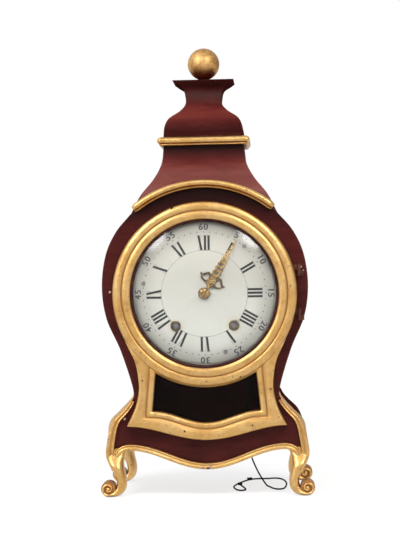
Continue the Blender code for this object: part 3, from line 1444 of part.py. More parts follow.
def make_free_cord():
    # From the bottom board to the floor, one loose loop, and a finger loop knotted at the end
    lie = CORD_RADIUS + 0.1 * MM
    start = Vector((CORD_X, CORD_Y, BASE_Z - FIT))
    fall = [(0, 0, 0), (0, 0, -9 * MM), (4 * MM, 0, -24 * MM), (13 * MM, 0, -44 * MM)]
    floor = [
        (80, 8),
        (87, -6),
        (94, -20),
        (100, -15),
        (104, 0),
        (107, 24),
        (106, 46),
        (101, 68),
        (92, 78),
        (80, 72),
        (66, 73),
        (54, 67),
        (43, 42),
        (34, 17),
        (33, 1),
        (37, -17),
        (45, -31),
        (50, -27),
        (47, -6),
        (41.5, 20),
    ]
    route = [tuple(start + Vector(step)) for step in fall]
    route += [(x * MM, y * MM, lie) for x, y in floor]
    fine = [(x, y, max(z, lie)) for x, y, z in smooth(route, 24)]
    line = [fine[0]]
    for point in fine:
        if (Vector(point) - Vector(line[-1])).length > CORD_STEP:
            line.append(point)
    line[-1] = fine[-1]

    curve = bpy.data.curves.new("cord", "CURVE")
    curve.dimensions = "3D"
    curve.bevel_depth = CORD_RADIUS
    curve.bevel_resolution = 2
    curve.use_fill_caps = True
    spline = curve.splines.new("POLY")
    spline.points.add(len(line) - 1)
    for target, point in zip(spline.points, line):
        target.co = (*point, 1)
    holder = scratch_object("cord", curve)
    tube = evaluated_mesh(holder)
    bpy.data.objects.remove(holder)
    piece("cord_free", "cord", tube)

    # The knot closes the finger loop against the standing part
    heading = (Vector(fine[-1]) - Vector(fine[-8])).normalized()
    knot = 2.3 * MM
    centre = Vector(fine[-1]) + heading * (knot + FIT)
    profile = [(knot * math.sin(math.pi * i / 6), knot * math.cos(math.pi * i / 6)) for i in range(7)]
    centre.z = knot + 0.1 * MM
    piece("cord_knot", "cord", turned(profile, centre, 10), tuple(centre))
    total = sum((Vector(a) - Vector(b)).length for a, b in zip(fine, fine[1:]))
    print("free cord %.3f m, %d points" % (total, len(line)))


clear_scene()
clock = new_collection("neuchatel_bracket_clock")
make_front_board()
make_sides()
make_inner_boards()
make_back()
make_front_mouldings()
make_feet()
make_crown()
make_door()
make_glasses()
make_door_hinges()
make_door_catch()
make_dial()
make_hands()
make_plates()
make_barrels()
make_trains()
make_pendulum()
make_motion_work()
make_strike_work()
make_repeat_work()
make_free_cord()
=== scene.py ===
import json
import math

import bmesh
import bpy
from mathutils import Matrix, Vector


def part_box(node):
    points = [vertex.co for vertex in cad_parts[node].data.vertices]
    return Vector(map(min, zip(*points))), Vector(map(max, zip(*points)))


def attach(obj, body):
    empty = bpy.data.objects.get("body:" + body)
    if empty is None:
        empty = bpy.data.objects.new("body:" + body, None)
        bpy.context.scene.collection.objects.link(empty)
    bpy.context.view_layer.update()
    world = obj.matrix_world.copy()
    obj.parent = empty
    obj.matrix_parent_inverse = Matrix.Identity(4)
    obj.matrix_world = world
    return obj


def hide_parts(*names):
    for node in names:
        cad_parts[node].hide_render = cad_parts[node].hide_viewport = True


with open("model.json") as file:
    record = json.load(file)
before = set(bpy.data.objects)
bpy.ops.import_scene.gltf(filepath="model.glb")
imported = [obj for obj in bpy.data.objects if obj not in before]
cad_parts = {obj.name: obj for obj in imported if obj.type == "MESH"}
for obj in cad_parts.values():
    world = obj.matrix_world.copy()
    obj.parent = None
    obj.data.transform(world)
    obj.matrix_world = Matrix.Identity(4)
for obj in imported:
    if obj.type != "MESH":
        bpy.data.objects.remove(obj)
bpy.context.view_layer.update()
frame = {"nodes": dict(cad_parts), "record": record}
nodes = frame["nodes"]
stage = bpy.context.scene
mm = 0.001
dialZ = 0.275  # the dial's middle: hands, bezel, window and arch lie about it
keyX, keyZ = 0.0393, 0.2316  # its winding holes
print("frame loaded:", len(nodes), "nodes")


# help for lines, shells, meshes and shader nodes
def smoothLine(points, steps):  # a curve through all the points
    ends = [Vector(points[0]) * 2 - Vector(points[1]), Vector(points[-1]) * 2 - Vector(points[-2])]
    known = [ends[0]] + [Vector(p) for p in points] + [ends[1]]
    made = []
    for a, b, c, d in zip(known, known[1:], known[2:], known[3:]):
        for i in range(steps):
            t = i / steps
            bend = (a * 2 - b * 5 + c * 4 - d) * t * t + (b * 3 - a - c * 3 + d) * t * t * t
            made.append(tuple((b * 2 + (c - a) * t + bend) / 2))
    made.append(tuple(points[-1]))
    return made


def evened(points, count, closed=False):  # the same line with points at equal steps
    line = [Vector(p) for p in points] + ([Vector(points[0])] if closed else [])
    run = [0.0]
    for a, b in zip(line, line[1:]):
        run.append(run[-1] + (b - a).length)
    steps = count if closed else count - 1
    made, k = [], 0
    for i in range(count):
        goal = run[-1] * i / steps
        while k < len(line) - 2 and run[k + 1] < goal:
            k += 1
        share = (goal - run[k]) / max(run[k + 1] - run[k], 1e-12)
        made.append(tuple(line[k].lerp(line[k + 1], share)))
    return made


def leftWays(path, closed=False):  # mitred left-hand directions along a line in the front plane
    made = []
    count = len(path)
    for i in range(count):
        here = Vector(path[i])
        before = here - Vector(path[i - 1]) if closed or i else None
        after = Vector(path[(i + 1) % count]) - here if closed or i < count - 1 else None
        first = (before if before is not None else after).normalized()
        second = (after if after is not None else before).normalized()
        mean = (first + second).normalized()
        made.append(Vector((-mean.y, mean.x)) / max(mean.dot(first), 0.45))
    return made


def shifted(path, distance, closed=False):
    return [tuple(Vector(p) + way * distance) for p, way in zip(path, leftWays(path, closed))]


def arcLine(radius, start, end, count):  # an arc about the dial's middle, angles from the right
    angles = [start + (end - start) * i / count for i in range(count + 1)]
    return [(radius * math.cos(a), dialZ + radius * math.sin(a)) for a in angles]


def sagLine(half, z, sag, count):  # a foot edge from left to right that dips in the middle
    xs = [half * (2 * i / count - 1) for i in range(count + 1)]
    return [(x, z - sag * (1 + math.cos(math.pi * x / half)) / 2) for x in xs]


def between(low, high, up, across):  # a point part of the way up and part of the way across
    return (low[0] + (high[0] - low[0]) * across, low[1] + (high[1] - low[1]) * up)


def ovalLoop(u, v, halfU, halfV, count=20):
    angles = [2 * math.pi * i / count for i in range(count)]
    return [(u + halfU * math.cos(a), v + halfV * math.sin(a)) for a in angles]


def flipped(points):
    return [(-p[0], *p[1:]) for p in reversed(points)]


def eased(low, high, value):
    t = min(max((value - low) / (high - low), 0.0), 1.0)
    return t * t * (3 - 2 * t)


def unitShare(value):
    return min(max(value, 0), 1)


def lattice(rows, closed=False, relief=None):  # rings of points joined to a tube, capped where it is open
    ring, count = len(rows[0]), len(rows)
    faces = []
    for i in range(count if closed else count - 1):
        near, far = i * ring, (i + 1) % count * ring
        for j in range(ring):
            k = (j + 1) % ring
            faces.append((near + j, near + k, far + k, far + j))
    if not closed:
        faces.append(tuple(range(ring)))
        faces.append(tuple(range((count - 1) * ring, count * ring)))
    heights = list(relief or [0.5] * ring) * count
    return {"verts": [tuple(p) for row in rows for p in row], "faces": faces, "relief": heights}


def mirrorShell(shell):
    verts = [(-x, y, z) for x, y, z in shell["verts"]]
    return {**shell, "verts": verts, "faces": [tuple(reversed(face)) for face in shell["faces"]]}


def placed(name, data):  # a new object on the stage
    holder = bpy.data.objects.new(name, data)
    stage.collection.objects.link(holder)
    return holder


def addPiece(name, mesh, finish, body, replaced=()):
    piece = placed(name, mesh)
    mesh.materials.clear()
    mesh.materials.append(finishes[finish])
    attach(piece, body)
    if replaced:
        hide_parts(*replaced)
    return piece


def addShells(name, shells, sharp, finish, body, replaced=()):
    return addPiece(name, shellMesh(name, shells, sharp), finish, body, replaced)


def tidyMesh(mesh, sharp):  # doubles merged, faces outwards, smooth up to an angle
    bm = bmesh.new()
    bm.from_mesh(mesh)
    bmesh.ops.remove_doubles(bm, verts=bm.verts, dist=1e-6)
    bmesh.ops.dissolve_degenerate(bm, edges=bm.edges, dist=1e-7)
    bmesh.ops.recalc_face_normals(bm, faces=bm.faces)
    bm.to_mesh(mesh)
    bm.free()
    mesh.shade_smooth()
    mesh.set_sharp_from_angle(angle=math.radians(sharp))


def shellMesh(name, shells, sharp=40):  # several shells in one mesh, with their relief kept for the finish
    verts, faces, relief = [], [], []
    for shell in shells:
        base = len(verts)
        verts += shell["verts"]
        faces += [tuple(base + i for i in face) for face in shell["faces"]]
        relief += shell["relief"]
    mesh = bpy.data.meshes.new(name)
    mesh.from_pydata(verts, [], faces)
    mesh.attributes.new("relief", "FLOAT", "POINT").data.foreach_set("value", relief)
    tidyMesh(mesh, sharp)
    return mesh


def bakedMesh(holder, name):  # what its modifiers or its curve come to, as a plain mesh
    graph = bpy.context.evaluated_depsgraph_get()
    mesh = bpy.data.meshes.new_from_object(holder.evaluated_get(graph))
    mesh.name = name
    bpy.data.objects.remove(holder)
    return mesh


def plateMesh(name, loops, front, back, bevel=0.0, sharp=35):  # a flat board, holes after its outline
    curve = bpy.data.curves.new(name, "CURVE")
    curve.dimensions = "2D"
    curve.fill_mode = "BOTH"
    curve.extrude = (back - front) / 2 - bevel
    curve.bevel_depth = bevel
    curve.bevel_resolution = 2
    curve.offset = -bevel
    for loop in loops:
        spline = curve.splines.new("POLY")
        spline.points.add(len(loop) - 1)
        for point, (x, z) in zip(spline.points, loop):
            point.co = (x, z, 0, 1)
        spline.use_cyclic_u = True
    mesh = bakedMesh(placed(name, curve), name)
    mesh.transform(Matrix.Translation((0, (front + back) / 2, 0)) @ Matrix.Rotation(math.pi / 2, 4, "X"))
    tidyMesh(mesh, sharp)
    return mesh


def lathe(profile, centre, turns, axis="Z"):  # profile of (radius, along, relief), a closed loop
    rows = []
    for i in range(turns):
        angle = 2 * math.pi * i / turns
        row = []
        for radius, along, *_ in profile:
            u, v = radius * math.cos(angle), radius * math.sin(angle)
            row.append(Vector(centre) + Vector((u, v, along) if axis == "Z" else (u, -along, v)))
        rows.append(row)
    return lattice(rows, closed=True, relief=[p[2] if len(p) > 2 else 0.5 for p in profile])


def sweep(path, profile, front, widths):  # profile of (across, proud, relief), wide and tall shares
    rows = []
    for spot, left, (wide, tall) in zip(path, leftWays(path), widths):
        row = []
        for across, proud, _ in profile:
            x, z = Vector(spot) + left * across * wide
            row.append((x, front - proud * tall, z))
        rows.append(row)
    return lattice(rows, relief=[p[2] for p in profile])


def newGroup(name, inputs, outputs):
    group = bpy.data.node_groups.new(name, "ShaderNodeTree")
    for label, value in inputs.items():
        kind = "NodeSocketColor" if hasattr(value, "__len__") else "NodeSocketFloat"
        group.interface.new_socket(label, in_out="INPUT", socket_type=kind).default_value = value
    for label, kind in outputs.items():
        group.interface.new_socket(label, in_out="OUTPUT", socket_type="NodeSocket" + kind)
    return group, group.nodes.new("NodeGroupInput").outputs, group.nodes.new("NodeGroupOutput")


def putOut(group, out, **results):
    for label, value in results.items():
        group.links.new(value, out.inputs[label])
    return group


def newNode(tree, kind, *given, operation=None, **named):  # inputs in order or by name, values or sockets
    node = tree.nodes.new(kind)
    if operation:
        node.operation = operation
    pairs = list(zip(node.inputs, given))
    pairs += [(node.inputs[label.replace("_", " ")], value) for label, value in named.items()]
    for socket, value in pairs:
        if isinstance(value, bpy.types.NodeSocket):
            tree.links.new(value, socket)
        else:
            socket.default_value = value
    return node


def noiseNode(tree, source, scale, detail=4.0, rough=0.55, stretch=None):
    if stretch:
        source = newNode(tree, "ShaderNodeMapping", Vector=source, Scale=stretch).outputs[0]
    noise = newNode(tree, "ShaderNodeTexNoise", Vector=source, Scale=scale, Detail=detail, Roughness=rough)
    return noise.outputs["Fac"]


def bandNode(tree, value, low, high, toLow=0.0, toHigh=1.0, soft=False):
    node = newNode(tree, "ShaderNodeMapRange", value, low, high, toLow, toHigh)
    node.interpolation_type = "SMOOTHSTEP" if soft else "LINEAR"
    return node.outputs[0]


def sumNode(tree, operation, first, second):
    return newNode(tree, "ShaderNodeMath", first, second, operation=operation).outputs[0]


def plus(tree, first, second):
    return sumNode(tree, "ADD", first, second)


def times(tree, first, second):
    return sumNode(tree, "MULTIPLY", first, second)


def vectorNode(tree, operation, *given):
    return newNode(tree, "ShaderNodeVectorMath", *given, operation=operation).outputs


def mixNode(tree, share, first, second):  # two colours
    node = tree.nodes.new("ShaderNodeMix")
    node.data_type = "RGBA"
    tree.links.new(share, node.inputs[0])
    for socket, value in zip(node.inputs[6:8], (first, second)):
        if isinstance(value, tuple):
            socket.default_value = value
        else:
            tree.links.new(value, socket)
    return node.outputs[2]


def mixShader(tree, share, first, second):
    return newNode(tree, "ShaderNodeMixShader", share, first, second).outputs[0]


def objectSpot(tree):
    return tree.nodes.new("ShaderNodeTexCoord").outputs["Object"]


# camera, light and floor
shot = {"distance": 1.8538, "height": 0.307, "yaw": 3.0, "roll": 1.0, "pixels": 1318, "aim": (6.57, 1.85)}


def setCamera():
    longSide = 536
    data = bpy.data.cameras.new("camera")
    data.sensor_width = 36
    data.lens = shot["pixels"] / longSide * data.sensor_width
    data.shift_x = -shot["aim"][0] / longSide
    data.shift_y = shot["aim"][1] / longSide
    yaw, roll = math.radians(shot["yaw"]), math.radians(shot["roll"])
    ahead = Vector((-math.sin(yaw), math.cos(yaw), 0))
    right = Vector((math.cos(yaw), math.sin(yaw), 0))
    up = Vector((0, 0, 1)) * math.cos(roll) + right * math.sin(roll)
    across = right * math.cos(roll) - Vector((0, 0, 1)) * math.sin(roll)
    turn = Matrix((across, up, -ahead)).transposed().to_4x4()
    camera = placed("camera", data)
    place = -ahead * shot["distance"] + Vector((0, 0, shot["height"]))
    camera.matrix_world = Matrix.Translation(place) @ turn
    stage.camera = camera


softboxes = {  # place, aim, size, watts
    "boxLeft": ((-0.85, -0.95, 1.75), (0, 0, 0.30), (1.0, 0.8), 46),
    "boxRight": ((0.85, -0.95, 1.75), (0, 0, 0.30), (1.0, 0.8), 40),
    "boxOver": ((0.0, 0.10, 2.0), (0, 0, 0.30), (1.4, 1.0), 12),
}


def setLights():
    for name, (place, aim, size, watts) in softboxes.items():
        lamp = bpy.data.lights.new(name, "AREA")
        lamp.shape = "RECTANGLE"
        lamp.size, lamp.size_y = size
        lamp.energy = watts
        holder = placed(name, lamp)
        holder.visible_glossy = False  # the room's own bright patches are what shiny things show
        way = Vector(aim) - Vector(place)
        holder.matrix_world = Matrix.Translation(place) @ way.to_track_quat("-Z", "Y").to_matrix().to_4x4()


roomGlow = {  # the room's light, then what gold and glass reflect of it, with two bright patches
    "light": 0.30, "front": 0.90, "behind": 0.70, "aside": 0.55, "above": 0.40,
    "left": ((-0.525, -0.68, 0.515), 22.0), "right": ((0.42, -0.735, 0.53), 20.0),
    "inner": math.cos(math.radians(3)), "outer": math.cos(math.radians(12)),
}


def setWorld():
    world = bpy.data.worlds.new("studio")
    stage.world = world
    world.use_nodes = True
    tree = world.node_tree
    tree.nodes.clear()
    place = tree.nodes.new("ShaderNodeTexCoord").outputs["Generated"]
    way = newNode(tree, "ShaderNodeSeparateXYZ", place).outputs
    level = bandNode(tree, way["Y"], -0.9, 0.5, roomGlow["front"], roomGlow["behind"])
    level = plus(tree, level, bandNode(tree, way["X"], -0.20, -0.75, 0.0, roomGlow["aside"]))
    level = plus(tree, level, bandNode(tree, way["Z"], 0.50, 0.90, 0.0, roomGlow["above"]))
    for side in ("left", "right"):
        aim, strength = roomGlow[side]
        along = vectorNode(tree, "DOT_PRODUCT", place, Vector(aim).normalized())["Value"]
        patch = bandNode(tree, along, roomGlow["outer"], roomGlow["inner"], 0.0, strength, soft=True)
        level = plus(tree, level, patch)
    seen = newNode(tree, "ShaderNodeBackground", (1, 1, 1, 1)).outputs[0]
    room = newNode(tree, "ShaderNodeBackground", (0.98, 0.99, 1, 1), roomGlow["light"]).outputs[0]
    mirror = newNode(tree, "ShaderNodeBackground", Strength=level).outputs[0]
    rays = tree.nodes.new("ShaderNodeLightPath").outputs
    shine = sumNode(tree, "MAXIMUM", rays["Is Glossy Ray"], rays["Is Transmission Ray"])
    shown = mixShader(tree, rays["Is Camera Ray"], mixShader(tree, shine, room, mirror), seen)
    newNode(tree, "ShaderNodeOutputWorld", shown)


floorForm = {
    "half": 6.0, "nearClock": 0.22, "farOff": 0.75, "nearGlow": 0.78,  # paper by the clock, white further out
    "paper": {"Base Color": (0.86, 0.86, 0.85, 1), "Roughness": 0.8, "Specular IOR Level": 0.1},
}


def setFloor():
    f = floorForm
    finish = bpy.data.materials.new("floorPaper")
    finish.use_nodes = True
    tree = finish.node_tree
    paper = tree.nodes["Principled BSDF"]
    for label, value in f["paper"].items():
        paper.inputs[label].default_value = value
    reach = vectorNode(tree, "LENGTH", objectSpot(tree))["Value"]
    fade = bandNode(tree, reach, f["nearClock"], f["farOff"], f["nearGlow"], 1.0, soft=True)
    rays = tree.nodes.new("ShaderNodeLightPath").outputs
    straight = sumNode(tree, "MAXIMUM", rays["Is Camera Ray"], rays["Is Transmission Ray"])
    glow = newNode(tree, "ShaderNodeEmission", (1, 1, 1, 1)).outputs[0]
    shown = mixShader(tree, times(tree, fade, straight), paper.outputs[0], glow)
    dim = newNode(tree, "ShaderNodeEmission", Strength=roomGlow["front"]).outputs[0]  # for shiny things
    shown = mixShader(tree, rays["Is Glossy Ray"], shown, dim)
    tree.links.new(shown, tree.nodes["Material Output"].inputs[0])
    mesh = bpy.data.meshes.new("floor")
    corners = [(x * f["half"], y * f["half"], 0) for x, y in ((-1, -1), (1, -1), (1, 1), (-1, 1))]
    mesh.from_pydata(corners, [], [(0, 1, 2, 3)])
    floor = placed("floor", mesh)
    mesh.materials.append(finish)


stage.view_settings.view_transform = "Standard"
setCamera()
setLights()
setWorld()
setFloor()
print("camera, light and floor set")


# finishes
giltTones = {
    "pale": (0.79, 0.525, 0.225, 1), "lap": (0.56, 0.27, 0.070, 1), "smoke": (0.46, 0.200, 0.050, 1),
    "glazeShade": (0.40, 0.175, 0.042, 1), "grime": (0.16, 0.075, 0.025, 1), "standing": (0.030, 0.018, 0.010, 1),
}


def gildingGroup():  # leaf laps, rubbed ridges, brown glaze below every crest (patina, and painted shade on the flanks), brown grime in the hollows, dark standing edge at the floor
    group, given, out = newGroup(
        "gildingWearAndShade",
        {
            "Leaf": (0.735, 0.430, 0.140, 1), "Bole": (0.13, 0.040, 0.016, 1),
            "Rub": 0.5, "Dirt": 0.5, "Dull": 0.0,
        },
        {"Color": "Color", "Roughness": "Float", "Metal": "Float", "Height": "Float"},
    )
    spot = objectSpot(group)
    raised = group.nodes.new("ShaderNodeAttribute")
    raised.attribute_name = "relief"
    raised = raised.outputs["Fac"]
    cloud = noiseNode(group, spot, 26, 5, 0.6)
    leaf = noiseNode(group, spot, 150, 3, 0.6)
    fine = noiseNode(group, spot, 900, 2, 0.5)
    speck = noiseNode(group, spot, 210, 6, 0.75)
    smoke = noiseNode(group, spot, 48, 5, 0.68)
    colour = given["Leaf"]
    for share, tone in (
        (bandNode(group, cloud, 0.35, 0.70), "pale"), (bandNode(group, leaf, 0.52, 0.76, 0, 0.55), "lap"),
        (bandNode(group, smoke, 0.50, 0.72, 0, 0.50), "smoke"),
        # brown glaze where the relief falls below the crest: partly patina, partly painted shade on the
        # flanks of every moulding
        (bandNode(group, raised, 0.92, 0.25, 0, 0.75), "glazeShade"),
    ):
        colour = mixNode(group, share, colour, giltTones[tone])
    hollow = bandNode(group, raised, 0.36, 0.0, 0.0, 0.95)
    grime = times(group, hollow, bandNode(group, cloud, 0.25, 0.60, 0.45, 1.0))
    grime = times(group, grime, given["Dirt"])
    colour = mixNode(group, grime, colour, giltTones["grime"])
    ridge = bandNode(group, raised, 0.62, 1.0, 0.0, 0.085)
    rubbed = times(group, bandNode(group, plus(group, speck, ridge), 0.685, 0.725), given["Rub"])
    colour = mixNode(group, rubbed, colour, given["Bole"])
    height = newNode(group, "ShaderNodeSeparateXYZ", spot).outputs["Z"]
    stand = bandNode(group, height, 0.0045, 0.0005)
    colour = mixNode(group, stand, colour, giltTones["standing"])
    bare = sumNode(group, "MAXIMUM", times(group, grime, 0.8), sumNode(group, "MAXIMUM", rubbed, stand))
    dull = plus(group, bandNode(group, cloud, 0.3, 0.7, 0.26, 0.38), times(group, bare, 0.3))
    rough = plus(group, times(group, leaf, 0.8), times(group, fine, 0.25))
    return putOut(
        group, out, Color=colour, Metal=bandNode(group, bare, 0, 1, 1.0, 0.12),
        Roughness=plus(group, dull, given["Dull"]),
        Height=sumNode(group, "SUBTRACT", rough, times(group, rubbed, 0.3)),
    )


lacquerTones = {
    "grit": (0.018, 0.004, 0.004, 1), "rub": (0.19, 0.085, 0.055, 1), "lost": (0.50, 0.42, 0.36, 1),
}


def lacquerGroup():  # brushed red lacquer with mottling, small losses and pale edge rubs
    group, given, out = newGroup(
        "lacquerAge",
        {
            "Red": (0.048, 0.0078, 0.0066, 1), "Deep": (0.026, 0.0044, 0.0040, 1),
            "Bright": (0.068, 0.0120, 0.0095, 1), "Loss": 0.6,
        },
        {"Color": "Color", "Roughness": "Float", "Height": "Float"},
    )
    spot = objectSpot(group)
    cloud = noiseNode(group, spot, 14, 5, 0.6)
    streak = noiseNode(group, spot, 70, 5, 0.65, (0.40, 0.40, 2.0))  # brushed level
    grit = noiseNode(group, spot, 700, 3, 0.6)
    chip = noiseNode(group, spot, 95, 6, 0.72)
    bevel = newNode(group, "ShaderNodeBevel", Radius=0.0022)
    bevel.samples = 4
    flat = group.nodes.new("ShaderNodeNewGeometry").outputs["Normal"]
    turn = vectorNode(group, "DOT_PRODUCT", bevel.outputs[0], flat)["Value"]
    edge = bandNode(group, turn, 0.985, 0.80)
    rub = times(group, edge, bandNode(group, chip, 0.42, 0.62, 0, 0.75))
    lost = bandNode(group, plus(group, chip, times(group, edge, 0.05)), 0.755, 0.775)
    lost = times(group, lost, given["Loss"])
    colour = mixNode(group, bandNode(group, cloud, 0.32, 0.70), given["Deep"], given["Red"])
    colour = mixNode(group, bandNode(group, streak, 0.42, 0.70, 0, 0.45), colour, given["Bright"])
    colour = mixNode(group, bandNode(group, grit, 0.60, 0.75, 0, 0.35), colour, lacquerTones["grit"])
    colour = mixNode(group, rub, colour, lacquerTones["rub"])
    colour = mixNode(group, lost, colour, lacquerTones["lost"])
    dull = plus(group, bandNode(group, cloud, 0.3, 0.7, 0.33, 0.46), times(group, lost, 0.3))
    high = plus(group, times(group, streak, 0.6), times(group, grit, 0.35))
    return putOut(
        group, out, Color=colour, Roughness=plus(group, dull, times(group, rub, 0.15)),
        Height=sumNode(group, "SUBTRACT", high, lost),
    )


def metalGroup():  # stoned brass and steel: fine grain, tarnish clouds, finger stains
    group, given, out = newGroup(
        "metalTarnish",
        {"Clean": (0.60, 0.42, 0.16, 1), "Stain": (0.22, 0.13, 0.05, 1), "Amount": 0.6, "Polish": 0.30},
        {"Color": "Color", "Roughness": "Float", "Height": "Float"},
    )
    spot = objectSpot(group)
    cloud = noiseNode(group, spot, 45, 5, 0.65)
    grain = noiseNode(group, spot, 500, 3, 0.6, (1.0, 1.0, 0.08))
    share = times(group, bandNode(group, cloud, 0.42, 0.72), given["Amount"])
    dull = plus(group, given["Polish"], times(group, share, 0.25))
    return putOut(
        group, out, Color=mixNode(group, share, given["Clean"], given["Stain"]),
        Roughness=plus(group, dull, bandNode(group, grain, 0.3, 0.7, -0.05, 0.07)), Height=grain,
    )


groups = {"gilding": gildingGroup(), "lacquer": lacquerGroup(), "metal": metalGroup()}


def addBump(finish, height, strength, depth):
    tree = finish.node_tree
    bump = newNode(tree, "ShaderNodeBump", Strength=strength, Distance=depth, Height=height)
    tree.links.new(bump.outputs[0], tree.nodes["Principled BSDF"].inputs["Normal"])


def newFinish(name, group=None, values=None, bump=0.0, depth=0.0, **sockets):
    finish = bpy.data.materials.new(name)
    finish.use_nodes = True
    tree = finish.node_tree
    surface = tree.nodes["Principled BSDF"]
    for label, value in sockets.items():
        surface.inputs[label.replace("_", " ")].default_value = value
    if group:
        node = tree.nodes.new("ShaderNodeGroup")
        node.node_tree = groups[group]
        for label, value in values.items():
            node.inputs[label].default_value = value
        for label, target in (("Color", "Base Color"), ("Roughness", "Roughness"), ("Metal", "Metallic")):
            if label in node.outputs:
                tree.links.new(node.outputs[label], surface.inputs[target])
        addBump(finish, node.outputs["Height"], bump, depth)
    return finish


def patternFinish(name, colours, scale, stretch, roughness, bump, depth, **sockets):  # three tones in noise
    finish = newFinish(name, **sockets)
    tree = finish.node_tree
    surface = tree.nodes["Principled BSDF"]
    spot = objectSpot(tree)
    broad = noiseNode(tree, spot, scale, 6, 0.6, stretch)
    small = noiseNode(tree, spot, scale * 7, 3, 0.6, stretch)
    colour = mixNode(tree, bandNode(tree, broad, 0.35, 0.65), *colours[:2])
    colour = mixNode(tree, bandNode(tree, small, 0.56, 0.72, 0, 0.6), colour, colours[2])
    tree.links.new(colour, surface.inputs["Base Color"])
    tree.links.new(bandNode(tree, broad, 0.3, 0.7, *roughness), surface.inputs["Roughness"])
    addBump(finish, plus(tree, broad, small), bump, depth)
    return finish


def glassFinish(name, bending):  # clear, with the slow ripple of old glass
    clear = (0.985, 0.995, 0.985, 1)
    finish = newFinish(name, Transmission_Weight=1.0, IOR=bending, Roughness=0.0, Base_Color=clear)
    tree = finish.node_tree
    addBump(finish, noiseNode(tree, objectSpot(tree), 22, 2, 0.4), 0.02, 0.0004)
    return finish


